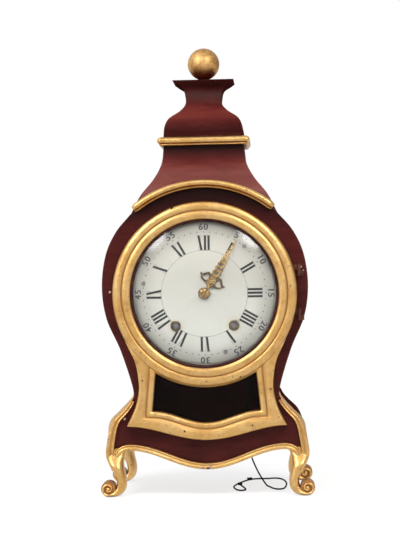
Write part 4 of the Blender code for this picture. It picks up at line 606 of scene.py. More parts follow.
finishes = {
    "gilt": newFinish("agedGilding", "gilding", {"Rub": 0.85, "Dirt": 1.0, "Dull": 0.05}, 0.70, 0.00030),
    "ball": newFinish(
        "ballGilding", "gilding", {"Leaf": (0.74, 0.43, 0.150, 1), "Rub": 0.6, "Dirt": 0.8, "Dull": 0.16},
        0.35, 0.0003,
    ),
    "lacquer": newFinish("oxbloodLacquer", "lacquer", {}, 0.25, 0.00012, Specular_IOR_Level=0.0),
    "board": newFinish("boardLacquer", "lacquer", {}, 0.25, 0.00012, Specular_IOR_Level=0.07),
    # a lighter copy of the case lacquer: painted light on the upward-facing crown
    "crown": newFinish(
        "litCrownLacquer", "lacquer",
        {
            "Red": (0.082, 0.0125, 0.0102, 1), "Deep": (0.056, 0.0086, 0.0074, 1),
            "Bright": (0.135, 0.030, 0.023, 1),
        },
        0.30, 0.00014, Specular_IOR_Level=0.07,
    ),
    # a copy of the lacquer in a tone between the case's and the lower crown's: painted light and shade on the
    # upper crown
    "upper": newFinish(
        "shadedLacquer", "lacquer",
        {
            "Red": (0.060, 0.0090, 0.0076, 1), "Deep": (0.040, 0.0062, 0.0055, 1),
            "Bright": (0.092, 0.0190, 0.0150, 1),
        },
        0.30, 0.00014, Specular_IOR_Level=0.0,
    ),
    "hinge": newFinish(
        "darkHinge", "metal",
        {"Clean": (0.085, 0.030, 0.020, 1), "Stain": (0.030, 0.008, 0.007, 1), "Amount": 1.0, "Polish": 0.5},
        0.2, 0.0001, Metallic=0.35, Specular_IOR_Level=0.2,
    ),
    "gesso": newFinish(
        "wornGilding", "gilding",
        {"Leaf": (0.80, 0.50, 0.22, 1), "Bole": (0.74, 0.53, 0.40, 1), "Rub": 1.0, "Dirt": 0.3}, 0.4, 0.0003,
    ),
    # a near-black copy of the lacquer: painted shade in the gap under the bezel
    "reveal": newFinish(
        "shadedRevealPaint", "lacquer",
        {
            "Red": (0.020, 0.0048, 0.0042, 1), "Deep": (0.011, 0.0030, 0.0028, 1),
            "Bright": (0.028, 0.0070, 0.0060, 1),
        },
        0.2, 0.0001, Specular_IOR_Level=0.1,
    ),
    "bush": newFinish(
        "dullBush", "metal",
        {"Clean": (0.24, 0.230, 0.225, 1), "Stain": (0.11, 0.104, 0.100, 1), "Amount": 1.0, "Polish": 0.5},
        0.2, 0.0001, Metallic=0.7,
    ),
    "brass": newFinish("movementBrass", "metal", {}, 0.15, 0.0001, Metallic=1.0),
    "steel": newFinish(
        "bluedGreySteel", "metal",
        {"Clean": (0.30, 0.30, 0.31, 1), "Stain": (0.10, 0.085, 0.075, 1), "Polish": 0.32},
        0.15, 0.0001, Metallic=1.0,
    ),
    "bell": newFinish(
        "bellMetal", "metal",
        {"Clean": (0.50, 0.36, 0.17, 1), "Stain": (0.16, 0.11, 0.05, 1), "Polish": 0.26},
        0.12, 0.0001, Metallic=1.0,
    ),
    "hands": newFinish(
        "handGilding", "metal",
        {"Clean": (0.74, 0.49, 0.19, 1), "Stain": (0.34, 0.185, 0.060, 1), "Amount": 1.0, "Polish": 0.34},
        0.3, 0.0002, Metallic=1.0,
    ),
    # a darker copy of the hand gilding: painted shade on the hour hand
    "hourHand": newFinish(
        "shadedHandGilding", "metal",
        {"Clean": (0.30, 0.190, 0.080, 1), "Stain": (0.055, 0.036, 0.020, 1), "Amount": 1.0, "Polish": 0.45},
        0.3, 0.0002, Metallic=0.9,
    ),
    "wood": patternFinish(
        "bareFir", ((0.30, 0.17, 0.085, 1), (0.44, 0.28, 0.15, 1), (0.16, 0.085, 0.04, 1)),
        30, (1.0, 1.0, 0.12), (0.55, 0.72), 0.3, 0.0003,
    ),
    "enamel": patternFinish(
        "dialEnamel", ((0.700, 0.690, 0.625, 1), (0.740, 0.730, 0.670, 1), (0.655, 0.640, 0.57, 1)),
        16, (1, 1, 1), (0.10, 0.20), 0.03, 0.0002, Coat_Weight=0.5, Coat_Roughness=0.06,
    ),
    "paleInk": patternFinish(
        "paleInk", ((0.030, 0.029, 0.028, 1), (0.060, 0.058, 0.055, 1), (0.20, 0.195, 0.18, 1)),
        240, (1, 1, 1), (0.3, 0.5), 0.1, 0.0001, Specular_IOR_Level=0.1,
    ),
    "ink": patternFinish(
        "dialInk", ((0.005, 0.005, 0.006, 1), (0.010, 0.010, 0.010, 1), (0.05, 0.048, 0.046, 1)),
        180, (1, 1, 1), (0.3, 0.5), 0.1, 0.0001, Specular_IOR_Level=0.1,
    ),
    "cord": patternFinish(
        "blackCord", ((0.004, 0.004, 0.005, 1), (0.008, 0.008, 0.009, 1), (0.018, 0.018, 0.019, 1)),
        900, (1, 1, 1), (0.6, 0.8), 0.6, 0.0002, Specular_IOR_Level=0.1,
    ),
    "glass": glassFinish("oldGlass", 1.46),
    "pane": glassFinish("windowPane", 1.12),  # dull old pane: it hardly shines
}


def flatDistance(tree, x, z):  # how far from a place, as seen from the front
    gap = vectorNode(tree, "SUBTRACT", objectSpot(tree), (x, 0, z))[0]
    return vectorNode(tree, "LENGTH", vectorNode(tree, "MULTIPLY", gap, (1, 0, 1))[0])["Value"]


def tintSurface(finish, share, colour):  # another colour over what the finish has so far
    tree = finish.node_tree
    base = tree.nodes["Principled BSDF"].inputs["Base Color"]
    tree.links.new(mixNode(tree, share, base.links[0].from_socket, colour), base)


def paintedShadeEdge(finish, z, near, far, colour, most):  # painted shade: a soft darker border round a place on the middle line
    share = bandNode(finish.node_tree, flatDistance(finish.node_tree, 0, z), near, far, 0.0, most, soft=True)
    tintSurface(finish, share, colour)


def paintedLightLevels(finish, levels):  # painted light and shade: tints by height
    tree = finish.node_tree
    height = newNode(tree, "ShaderNodeSeparateXYZ", objectSpot(tree)).outputs["Z"]
    for start, full, end, tone, most in levels:
        rise = bandNode(tree, height, start, full, 0.0, most)
        fall = bandNode(tree, height, full, end, 1.0, 0.0)
        tintSurface(finish, times(tree, rise, fall), wearAndLightTones[tone])


def knocks(finish, spots):  # small ragged chips
    tree = finish.node_tree
    ragged = noiseNode(tree, objectSpot(tree), 420, 3, 0.7)
    for x, z, reach, tone in spots:
        away = plus(tree, flatDistance(tree, x * mm, z * mm), times(tree, ragged, reach * mm * 2))
        tintSurface(finish, bandNode(tree, away, reach * mm * 2.1, reach * mm * 1.7), wearAndLightTones[tone])


# tones for chips, and for the painted shade, light and sheen laid on by height
wearAndLightTones = {
    "pale": (0.40, 0.29, 0.24, 1), "dark": (0.045, 0.020, 0.010, 1), "paintedShade": (0.010, 0.0036, 0.0034, 1),
    "paleSheen": (0.180, 0.086, 0.075, 1), "red": (0.115, 0.022, 0.018, 1), "greySheen": (0.044, 0.027, 0.025, 1),
    "litBand": (0.150, 0.066, 0.056, 1), "case": (0.040, 0.0068, 0.0058, 1), "grey": (0.46, 0.43, 0.375, 1),
}
knockSpots = {  # across, height and reach in mm, tone
    "gilt": (
        (-6, 39, 2.6, "pale"), (1, 37.5, 2.2, "dark"), (4, 40, 2.4, "pale"), (87.5, 144.7, 1.3, "dark"),
        (47, 162, 1.5, "dark"), (-30, 89, 1.6, "dark"), (-42, 391, 1.8, "dark"), (62, 96, 1.2, "dark"),
        (-86, 158, 1.2, "dark"),
    ),
    "board": (
        (131, 309, 1.6, "pale"), (134, 304, 1.3, "pale"), (-129.5, 279, 1.6, "pale"),
        (-114, 226, 1.2, "pale"), (-112, 105.5, 1.8, "pale"),
    ),
}
lightLevelTints = {  # painted light and shade by height: heights from, full and until, tone, share
    "enamel": ((0.225, 0.300, 0.500, "grey", 0.62),),  # painted shade: greyer towards the top, under the bezel
    # painted shade low down above the band and under the cap, painted light on the shoulder, a painted grey
    # sheen at the neck
    "upper": (
        (0.470, 0.499, 0.524, "paintedShade", 0.66), (0.512, 0.526, 0.538, "red", 0.38),
        (0.538, 0.554, 0.562, "greySheen", 0.58), (0.556, 0.566, 0.582, "paintedShade", 0.68),
    ),
    "crown": (  # painted shadow under the band, a painted lit band and a pale painted sheen lower down; the last one leads over to the case
        (0.453, 0.476, 0.560, "paintedShade", 0.96), (0.424, 0.440, 0.456, "litBand", 0.30),
        (0.330, 0.415, 0.436, "paleSheen", 0.35), (0.300, 0.386, 0.416, "case", 0.95),
    ),
}


# chips, stains, engraving and ball patches, with painted light and shade on the board, dial and crown
def ageAndShadeFinishes():
    for name, spots in knockSpots.items():
        knocks(finishes[name], spots)
    paintedShadeEdge(finishes["board"], 0.05, 0.322, 0.358, (0.008, 0.0026, 0.0024, 1), 0.90)  # painted shadow of the eyebrow moulding, under the arch

    enamel = finishes["enamel"]
    # painted shade of the bezel: the enamel darkens towards its rim, centred a little low so the top rim is
    # darkest
    paintedShadeEdge(enamel, dialZ - 5 * mm, 0.062, 0.102, (0.235, 0.205, 0.160, 1), 0.85)
    for name, levels in lightLevelTints.items():
        paintedLightLevels(finishes[name], levels)
    for side in (-1, 1):  # old oil round the winding holes
        away = flatDistance(enamel.node_tree, side * keyX, keyZ)
        tintSurface(enamel, bandNode(enamel.node_tree, away, 0.014, 0.0075, 0.0, 0.5), (0.66, 0.55, 0.38, 1))

    for name in ("hands", "hourHand"):  # engraved leaves, dark in their cuts and at the pivot
        tree = finishes[name].node_tree
        cuts = bandNode(tree, noiseNode(tree, objectSpot(tree), 430, 3, 0.6), 0.50, 0.58, 0.0, 0.85)
        tintSurface(finishes[name], cuts, (0.070, 0.036, 0.012, 1))
        pivot = bandNode(tree, flatDistance(tree, 0, dialZ), 0.0042, 0.0022, 0.0, 0.75)
        tintSurface(finishes[name], pivot, (0.120, 0.070, 0.022, 1))

    tree = finishes["ball"].node_tree
    for scale, most in ((62, 0.75), (190, 0.55)):  # brown patches on the ball
        patch = bandNode(tree, noiseNode(tree, objectSpot(tree), scale, 5, 0.7), 0.46, 0.64, 0.0, most)
        tintSurface(finishes["ball"], patch, (0.34, 0.150, 0.045, 1))


slotFinish = {
    "lacquer": "lacquer", "gilt": "gilt", "bare_wood": "wood", "glass": "glass", "enamel": "enamel",
    "hand_gilt": "hands", "brass": "brass", "steel": "steel", "bell_bronze": "bell", "cord": "cord",
}
ownFinish = {"door_hinge": "hinge", "door_eye": "hinge", "window_glass": "pane", "dial_screw": "bush"}


def finishNodes():  # every carried-over node gets the finish of its slot, or one of its own
    for entry in frame["record"]["subparts"]:
        finish = slotFinish[entry["material_slot"]]
        for start, own in ownFinish.items():
            finish = own if entry["node"].startswith(start) else finish
        mesh = nodes[entry["node"]].data
        mesh.materials.clear()
        mesh.materials.append(finishes[finish])


ageAndShadeFinishes()
finishNodes()
print("finishes made:", len(finishes))


# the pull cord
cordForm = {
    "start": (0.056, 0.0103, 0.0617), "radius": 0.00112, "step": 0.0027, "strand": 0.0011, "knotRise": 0.32,
    "endKnot": 0.0027, "midKnot": 0.0033, "midAt": (0.054, 0.065, 0.001),
    "stopKnot": 0.0021, "stopStrand": 0.0009, "stopDrop": 0.0024, "stopRoom": 0.0040,
    "fall": ((0, 0, 0), (0, 0, -9), (4, 0, -24), (13, 0, -44)),  # in mm from the start
    "floor": (  # in mm from under the clock's middle
        (80, 8), (85, -3.5), (88.6, -12.5), (92.8, -18.4), (98.0, -19.4), (102.4, -15.4), (104.8, -6.5),
        (106.6, 10), (107.2, 28), (106, 46), (102.8, 62), (97.8, 72.5), (90, 76.5), (80, 73.5),
        (66, 72.5), (54, 65), (43, 42), (35, 17), (33, 2), (34.6, -11), (37.0, -19.5), (39.8, -25.2),
        (43.9, -28.2), (48.0, -26.6), (50.2, -20.5), (47.6, -4), (41.5, 20),
    ),
}


def tubeCurve(name, line, radius):
    curve = bpy.data.curves.new(name, "CURVE")
    curve.dimensions = "3D"
    curve.bevel_depth = radius
    curve.bevel_resolution = 3
    curve.use_fill_caps = True
    spline = curve.splines.new("POLY")
    spline.points.add(len(line) - 1)
    for point, place in zip(spline.points, line):
        point.co = (*place, 1)
    return curve


def strandTube(line, radius, sides=8):  # a round strand along a line, for knots
    rows = []
    angles = [2 * math.pi * k / sides for k in range(sides)]
    for i, place in enumerate(line):
        ahead = (Vector(line[min(i + 1, len(line) - 1)]) - Vector(line[max(i - 1, 0)])).normalized()
        side = ahead.cross(Vector((0, 0, 1)))
        side = side.normalized() if side.length > 1e-6 else Vector((1, 0, 0))
        up = side.cross(ahead)
        rows.append([Vector(place) + (side * math.cos(a) + up * math.sin(a)) * radius for a in angles])
    return lattice(rows)


def knotLine(centre, size, heading, count=72):  # an overhand knot drawn tight
    side = Vector((-heading.y, heading.x, 0))
    made = []
    for i in range(count):
        a = 2 * math.pi * i / count
        u = (math.sin(a) + 2 * math.sin(2 * a)) * size / 3
        v = (math.cos(a) - 2 * math.cos(2 * a)) * size / 3
        w = -math.sin(3 * a) * size * cordForm["knotRise"]
        made.append(tuple(centre + heading * u + side * v + Vector((0, 0, w))))
    return made + [made[0]]


def makeCord():
    c, radius = cordForm, cordForm["radius"]
    route = [tuple(Vector(c["start"]) + Vector(p) * mm) for p in c["fall"]]
    route += [(x * mm, y * mm, radius) for x, y in c["floor"]]
    fine = [Vector((x, y, max(z, radius))) for x, y, z in smoothLine(route, 24)]
    length = sum((a - b).length for a, b in zip(fine, fine[1:]))
    line = evened(fine, int(length / c["step"]))
    cord = placed("pullCord", tubeCurve("pullCord", line, radius))
    cord.data.materials.append(finishes["cord"])
    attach(cord, "case")
    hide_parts("cord_free")

    low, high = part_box("cord_knot")
    mid = min(range(len(fine)), key=lambda i: (fine[i] - Vector(c["midAt"])).length)
    for name, centre, way, size in (
        ("cordEndKnot", (low + high) / 2, fine[-1] - fine[-8], c["endKnot"]),
        ("cordMidKnot", fine[mid], fine[mid + 3] - fine[mid - 3], c["midKnot"]),
    ):
        lying = Vector((centre.x, centre.y, size * c["knotRise"] + radius))
        strand = knotLine(lying, size, Vector((way.x, way.y, 0)).normalized())
        addShells(name, [strandTube(strand, c["strand"])], 40, "cord", "case")
    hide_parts("cord_knot")

    low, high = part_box("cord_inner")  # the run inside the case, with its stop knot over the lever
    x, y = (low.x + high.x) / 2, (low.y + high.y) / 2
    rise = high.z - c["stopRoom"] - low.z
    inner = [(x, y, low.z + rise * i / 40) for i in range(41)]
    knot = knotLine(Vector((x, y, high.z - c["stopDrop"])), c["stopKnot"], Vector((1, 0, 0)))
    shells = [strandTube(inner, radius), strandTube(knot, c["stopStrand"])]
    addShells("cordInCase", shells, 40, "cord", "case", ["cord_inner"])
    print("cord %.4f m" % length)


makeCord()


# the case
caseForm = {
    "baseHalf": 0.137, "waistHalf": 0.100, "bellyHalf": 0.1405, "shoulderHalf": 0.101,
    "baseZ": 0.062, "waistZ": 0.146, "bellyZ": 0.285, "shoulderZ": 0.383,
    "front": -0.062, "boardBack": -0.052, "back": 0.082, "backBoard": 0.008, "wall": 0.009, "edge": 0.0011,
    "apronHalf": 0.107, "apronLow": 0.0405, "apronPeak": 0.067, "apronLip": 0.003, "lap": 0.0004,
    "dialHole": 0.076, "windowInset": 0.002, "wallTop": 1.6, "backHole": (0.062, 0.160, 0.360),
    "curves": (  # shares up and across, between base, waist, belly and shoulder
        ((0.30, 0.12), (0.50, 0.32), (0.66, 0.68), (0.80, 0.92)), ((0.38, 0.40), (0.69, 0.855)),
        ((0.44, 0.14), (0.76, 0.50)),
    ),
}
archRadius = math.hypot(caseForm["shoulderHalf"], caseForm["shoulderZ"] - dialZ)
windowForm = {"arc": 0.1275, "topHalf": 0.068, "footHalf": 0.073, "footZ": 0.1165, "sag": 0.016}
loopCounts = {"top": 32, "side": 16, "foot": 40}  # steps round the window, and round the door as well


def sideLine(steps=8):  # the right side from foot to shoulder
    f = caseForm
    levels = [(f[name + "Half"], f[name + "Z"]) for name in ("base", "waist", "belly", "shoulder")]
    points = [levels[0]]
    for low, high, curve in zip(levels, levels[1:], f["curves"]):
        points += [between(low, high, *share) for share in curve] + [high]
    return smoothLine(points, steps)


def apronLine():  # the wavy lower edge, from left to right
    f = caseForm
    return sagLine(f["apronHalf"], f["apronPeak"], f["apronPeak"] - f["apronLow"], 60)


def windowLoop():  # top, left, foot and right of the pendulum window, going round
    w, n = windowForm, loopCounts
    swing = math.asin(w["topHalf"] / w["arc"])
    top = arcLine(w["arc"], swing - math.pi / 2, -swing - math.pi / 2, n["top"])
    foot = sagLine(w["footHalf"], w["footZ"], w["sag"], n["foot"])
    left = evened([top[-1], foot[0]], n["side"] + 1)
    right = evened([foot[-1], top[0]], n["side"] + 1)
    return [p for side in (top, left, foot, right) for p in side[:-1]]


def makeCase():
    f = caseForm
    right = sideLine()
    first = math.atan2(f["shoulderZ"] - dialZ, f["shoulderHalf"])
    arch = arcLine(archRadius, first, math.pi - first, 48)[1:-1]
    apron = [(x, z - f["apronLip"]) for x, z in apronLine()]
    dialHole = ovalLoop(0, dialZ, f["dialHole"], f["dialHole"], 96)
    window = shifted(windowLoop(), -f["windowInset"], True)
    loops = [right + arch + flipped(right) + apron, dialHole, window]
    mesh = plateMesh("frontBoard", loops, f["front"], f["boardBack"], f["edge"])
    addPiece("frontBoard", mesh, "board", "case", ["front_board"])

    inner = shifted(right, f["wall"])
    inner[0] = (inner[0][0], f["baseZ"])
    inner[-1] = (f["shoulderHalf"] - f["wallTop"] * f["wall"], f["shoulderZ"])
    wall = right + inner[::-1]
    backFace = f["back"] - f["backBoard"]
    for where, outline in (("Right", wall), ("Left", flipped(wall))):
        name, node = "caseSide" + where, "case_side_" + where.lower()
        mesh = plateMesh(name, [outline], f["boardBack"] - f["lap"], backFace + f["lap"])
        addPiece(name, mesh, "lacquer", "case", [node])

    half, low, high = f["backHole"]
    opening = [(-half, low), (half, low), (half, high), (-half, high)]
    mesh = plateMesh("backBoard", [right + flipped(right), opening], backFace, f["back"], f["edge"])
    addPiece("backBoard", mesh, "lacquer", "case", ["back_board"])


# the crown and its ball
crownForm = {
    "y": 0.015, "low": 0.3833, "high": 0.4797, "baseDepth": 0.0667, "neckHalf": 0.0556, "depthShare": 0.72,
    "bandZ": 0.480, "bandHeight": 0.0125, "bandProud": 0.0085, "capZ": 0.5725, "capHalf": 0.0428,
    "waistHalf": 0.0255, "wall": 0.007, "arris": 0.0016, "ball": 0.0224, "ballZ": 0.5982, "neck": 0.0080,
    "bandGap": 0.0002, "bandArris": 0.0045, "seatGap": 0.0003, "collarTop": 0.0078, "collarSink": 0.0006,
    "collar": ((0.0105, 0), (0.0106, 0.0012), (0.0088, 0.0026)),  # radius, height over the cap
    "bell": ((0, 1), (0.28, 0.707), (0.52, 0.317), (0.75, 0.07), (1, 0)),  # height share, spread share
    "ogee": ((0, 1), (0.18, 0.95), (0.33, 0.75), (0.47, 0.26), (0.60, 0)),
    "flare": ((0.75, 0.015), (0.86, 0.18), (0.93, 0.60), (1, 1)),
    "band": (  # height share, proud share, relief
        (0.00, 0.10, 0.1), (0.00, 0.52, 0.4), (0.05, 0.64, 0.6), (0.13, 0.67, 0.7), (0.18, 0.64, 0.25),
        (0.24, 0.80, 0.6), (0.38, 0.95, 0.95), (0.55, 1.00, 1.0), (0.72, 0.95, 0.95), (0.87, 0.77, 0.8),
        (0.96, 0.50, 0.6), (1.00, 0.28, 0.4), (1.00, 0.05, 0.1),
    ),
}


def rectRing(halfX, halfY, z, arris, steps=4):  # a level rectangle with rounded corners
    made = []
    for quarter, (sideX, sideY) in enumerate(((1, 1), (-1, 1), (-1, -1), (1, -1))):
        for k in range(steps + 1):
            a = math.pi / 2 * (quarter + k / steps)
            x = sideX * (halfX - arris) + arris * math.cos(a)
            y = sideY * (halfY - arris) + arris * math.sin(a)
            made.append((x, crownForm["y"] + y, z))
    return made


def makeCrown():
    c = crownForm
    neckDepth = c["neckHalf"] * c["depthShare"]
    bell = smoothLine(c["bell"], 9)

    def ring(up, share, inset, top):
        half = c["neckHalf"] + (caseForm["shoulderHalf"] - c["neckHalf"]) * share - inset
        depth = neckDepth + (c["baseDepth"] - neckDepth) * share - inset
        return rectRing(half, depth, c["low"] + (top - c["low"]) * up, c["arris"])

    outside = [ring(up, share, 0, c["high"]) for up, share in bell]
    inside = [ring(up, share, c["wall"], c["high"] - c["wall"]) for up, share in bell]
    shells = [lattice(inside[::-1] + outside)]
    addShells("crownLower", shells, 30, "crown", "case", ["crown_lower"])

    start = c["bandZ"] + c["bandHeight"] + c["bandGap"]
    halves = []
    for part, widest in (("ogee", "neckHalf"), ("flare", "capHalf")):
        halves += [(up, c["waistHalf"] + (c[widest] - c["waistHalf"]) * share) for up, share in c[part]]
    rings = []
    for up, half in smoothLine(halves, 7):
        rings.append(rectRing(half, half * c["depthShare"], start + (c["capZ"] - start) * up, c["arris"]))
    addShells("crownUpper", [lattice(rings)], 30, "upper", "case", ["crown_upper"])

    rings, relief = [], []
    for up, proud, high in smoothLine(c["band"], 2):
        half, depth = c["neckHalf"] + c["bandProud"] * proud, neckDepth + c["bandProud"] * proud
        rings.append(rectRing(half, depth, c["bandZ"] + c["bandHeight"] * up, c["bandArris"]))
        relief += [high] * len(rings[-1])
    shells = [{**lattice(rings), "relief": relief}]
    addShells("crownBand", shells, 50, "gilt", "case", ["crown_moulding"])

    neck = math.asin(c["neck"] / c["ball"])
    ball = []
    for i in range(49):
        a = (math.pi - neck) * i / 48
        underShade = 0.35 * eased(0.70, 1.0, i / 48)  # painted shade: lower relief towards the neck darkens the ball's underside
        ball.append((c["ball"] * math.sin(a), c["ballZ"] + c["ball"] * math.cos(a), 0.86 - underShade))
    under = c["ballZ"] - c["ball"] * math.cos(neck)
    shells = [lathe(ball + [(0.0, under, 0.1)], (0, c["y"], 0), 72)]
    addShells("finialBall", shells, 50, "ball", "case", ["finial"])
    seat, top = c["capZ"] + c["seatGap"], under + c["collarSink"]
    collar = smoothLine([(r, seat + h) for r, h in c["collar"]] + [(c["collarTop"], top)], 5)
    shells = [lathe([(0.0, seat)] + collar + [(0.0, top)], (0, c["y"], 0), 48)]
    addShells("finialNeck", shells, 40, "lacquer", "case")


# the gilt mouldings on the front
mouldingForm = {
    "front": -0.0622, "browRaise": 0.0016, "browSweep": math.radians(39.3), "browEnd": 0.80,
    "rimTail": (  # on from the peaks, sinking into the knee of each leg
        (0.1238, 0.0340), (0.1256, 0.0405), (0.1262, 0.0470), (0.1250, 0.0530), (0.1226, 0.0580),
        (0.1190, 0.0622), (0.1145, 0.0652),
    ),
    "tailFrom": 0.112, "rimSink": (0.036, 0.067), "postSink": (0.036, 0.072), "leastTall": 0.1,
    "postFoot": ((0.1290, 0.0350), (0.1318, 0.0415), (0.1346, 0.0480), (0.1366, 0.0540)),
    "postFrom": 0.058, "postTop": 0.131, "postNarrow": (0.080, 0.52), "postThin": (0.100, 0.35),
    "wrapTop": 0.140, "wrapSkin": 0.0004, "wrapClear": 0.0002, "bulge": {"Right": 0.0044, "Left": 0.0060},
    "wrapSwell": (0.070, 0.108), "wrapFade": (0.141, 0.120),  # heights it grows and dies away between
    "wrap": (  # share of the bulge, sink and depth in mm, relief: a chamfer rubbed down to its ground
        (0, 2, -61.8, 0.4), (0.5, 0, -61.8, 1.0), (1.0, 0, -56.0, 1.0), (0.85, 0, -51.0, 1.0),
        (0, 0, -43.0, 0.9), (0, 2, -43.0, 0.4),
    ),
    "brow": (  # across and proud in mm, relief, from the lower edge up
        (-5.75, 0, 0.1), (-5.75, 3.4, 0.4), (-5.3, 4.8, 0.7), (-4.5, 5.4, 0.8), (-3.9, 5.2, 0.3),
        (-3.2, 6.6, 0.6), (-1.8, 9.2, 0.9), (0.4, 11.0, 1.0), (2.7, 10.7, 1.0), (4.5, 8.8, 0.8),
        (5.5, 5.8, 0.6), (5.75, 2.5, 0.4), (5.75, 0, 0.1),
    ),
    "rim": (
        (-4.5, 0, 0.1), (-4.5, 2.0, 0.5), (-3.9, 4.2, 0.9), (-2.5, 5.8, 1.0), (-0.8, 6.0, 1.0),
        (0.7, 5.2, 0.8), (1.6, 4.3, 0.25), (2.2, 4.4, 0.5), (3.0, 4.7, 0.9), (3.9, 4.1, 0.8),
        (4.5, 2.2, 0.4), (4.5, 0, 0.1),
    ),
    "post": (
        (-1.5, 0, 0.3), (-1.6, 2.6, 0.7), (-0.9, 4.7, 0.9), (0.6, 5.9, 1.0), (2.2, 5.5, 0.9), (3.4, 4.5, 0.5),
        (4.8, 4.0, 0.35), (6.4, 4.2, 0.6), (7.6, 4.9, 0.9), (8.7, 4.4, 0.9), (9.4, 2.6, 0.5), (9.5, 0, 0.1),
    ),
}


def profileOf(name, steps=3):
    points = smoothLine(mouldingForm[name], steps)
    return [(across * mm, max(proud, 0) * mm, unitShare(high)) for across, proud, high in points]


def sunk(heights, z):  # how tall a moulding still stands where it sinks into a leg
    least = mouldingForm["leastTall"]
    return least + (1 - least) * eased(*heights, z)


def makeMouldings():
    m = mouldingForm
    count, sweepHalf = 120, m["browSweep"]
    path = arcLine(archRadius + m["browRaise"], math.pi / 2 + sweepHalf, math.pi / 2 - sweepHalf, count)
    ends = [m["browEnd"] + (1 - m["browEnd"]) * eased(0, 3, min(i, count - i)) for i in range(count + 1)]
    brow = sweep(path, profileOf("brow"), m["front"], [(e, e) for e in ends])
    addShells("eyebrowMoulding", [brow], 45, "gilt", "case", ["eyebrow_moulding"])

    apron = apronLine()
    rightHalf = list(m["rimTail"]) + apron[len(apron) // 2:][::-1]
    path = evened(smoothLine([(-x, z) for x, z in rightHalf] + rightHalf[-2::-1], 2), 190)
    slim = [(1.0, 1.0 if abs(x) < m["tailFrom"] else sunk(m["rimSink"], z)) for x, z in path]
    rim = sweep(path, profileOf("rim"), m["front"], slim)
    addShells("apronRim", [rim], 45, "gilt", "case", ["apron_rim"])

    side = sideLine(16)  # each corner post follows the flare
    path = list(m["postFoot"]) + [p for p in side if m["postFrom"] < p[1] < m["postTop"]]
    path = evened(smoothLine(path, 3), 110)
    slim = []
    for _, z in path:
        narrow, thin = (most * eased(low, m["postTop"], z) for low, most in (m["postNarrow"], m["postThin"]))
        slim.append((1 - narrow, sunk(m["postSink"], z) * (1 - thin)))
    post = sweep(path, profileOf("post"), m["front"], slim)
    for where, bulge in m["bulge"].items():
        strip = []
        for x, z in (p for p in side if p[1] < m["wrapTop"]):
            out = m["wrapSkin"] + bulge * eased(*m["wrapFade"], z) * eased(*m["wrapSwell"], z)
            x += m["wrapClear"]
            strip.append([(x + share * out - sink * mm, y * mm, z) for share, sink, y, _ in m["wrap"]])
        wrap = lattice(strip, relief=[p[3] for p in m["wrap"]])
        made = [shell if where == "Right" else mirrorShell(shell) for shell in (post, wrap)]
        node = "corner_moulding_" + where.lower()
        addShells("cornerPost" + where, made[:1], 45, "gilt", "case", [node])
        addShells("cornerWrap" + where, made[1:], 45, "gesso", "case")


# the scroll feet
footForm = {
    "scroll": (0.1353, 0.0113), "radius": 0.0113, "depth": 0.026, "frontAt": -0.073, "backAt": 0.056,
    "turns": 1.32, "thick": (0.0052, 0.0026), "pitch": 0.0063, "eye": 0.0026, "sides": 36,
    "scrollFrom": math.radians(-108), "thinnest": 0.0004, "bead": 0.0012, "lean": 0.0110,
    "core": 0.0098, "coreInset": 0.0028, "eyeInset": 0.0020, "legSteps": 56, "scrollSteps": 84,
    "leanFrom": (0.036, 0.0655), "carvedFrom": (44, 60),  # heights, then steps along the leg
    "beadShare": 0.16, "square": 0.78, "carvedSquare": 0.18,
    "ridge": (0.78, 0.11), "groove": (0.50, 0.14, 0.8),  # place and width as shares across, depth
    "inner": (  # the leg's two edges from the case down and round under the scroll, in mm
        (109, 67), (111.2, 60), (113.4, 53), (114.2, 45), (113.2, 37), (111.6, 30), (110.6, 23),
        (110.8, 14.5), (113.2, 8), (118.2, 3), (124.8, 0.6), (131.0, 0.0),
    ),
    "outer": (
        (138.0, 67), (138.6, 61), (138.2, 54), (135.8, 47), (132.0, 40), (128.0, 32.5), (125.2, 26),
        (124.0, 20.5), (124.4, 15.5), (126.2, 11.6), (128.8, 8.2), (132.4, 5.9),
    ),
}


def ribbonShell(pairs, near, far, shy, carved):  # a rounded strip between two edges, beaded where carved
    f = footForm
    (ridgeAt, ridgeWide), (grooveAt, grooveWide, grooveDeep) = f["ridge"], f["groove"]
    rows, relief = [], []
    for (a, b), back, cut in zip(pairs, shy, carved):
        mid, reach = (Vector(a) + Vector(b)) / 2, (Vector(b) - Vector(a)) / 2
        bead = min(f["bead"], reach.length * f["beadShare"]) * cut
        power = f["square"] - f["carvedSquare"] * cut
        front = near + back
        row = []
        for k in range(f["sides"]):
            t = 2 * math.pi * k / f["sides"]
            u = math.copysign(abs(math.cos(t)) ** power, math.cos(t))
            v = math.copysign(abs(math.sin(t)) ** power, math.sin(t))
            ridge = math.exp(-(((abs(u) - ridgeAt) / ridgeWide) ** 2))
            groove = grooveDeep * math.exp(-(((abs(u) - grooveAt) / grooveWide) ** 2))
            push = bead * (ridge - groove) * eased(0.6, 0.9, abs(v))
            x, z = mid + reach * u
            y = (front + far) / 2 + (far - front) / 2 * v + (push if v > 0 else -push)
            row.append((x, y, max(z, 0)))
            relief.append(unitShare(0.95 - 0.08 * cut + push * 330))
        rows.append(row)
    return {**lattice(rows), "relief": relief}


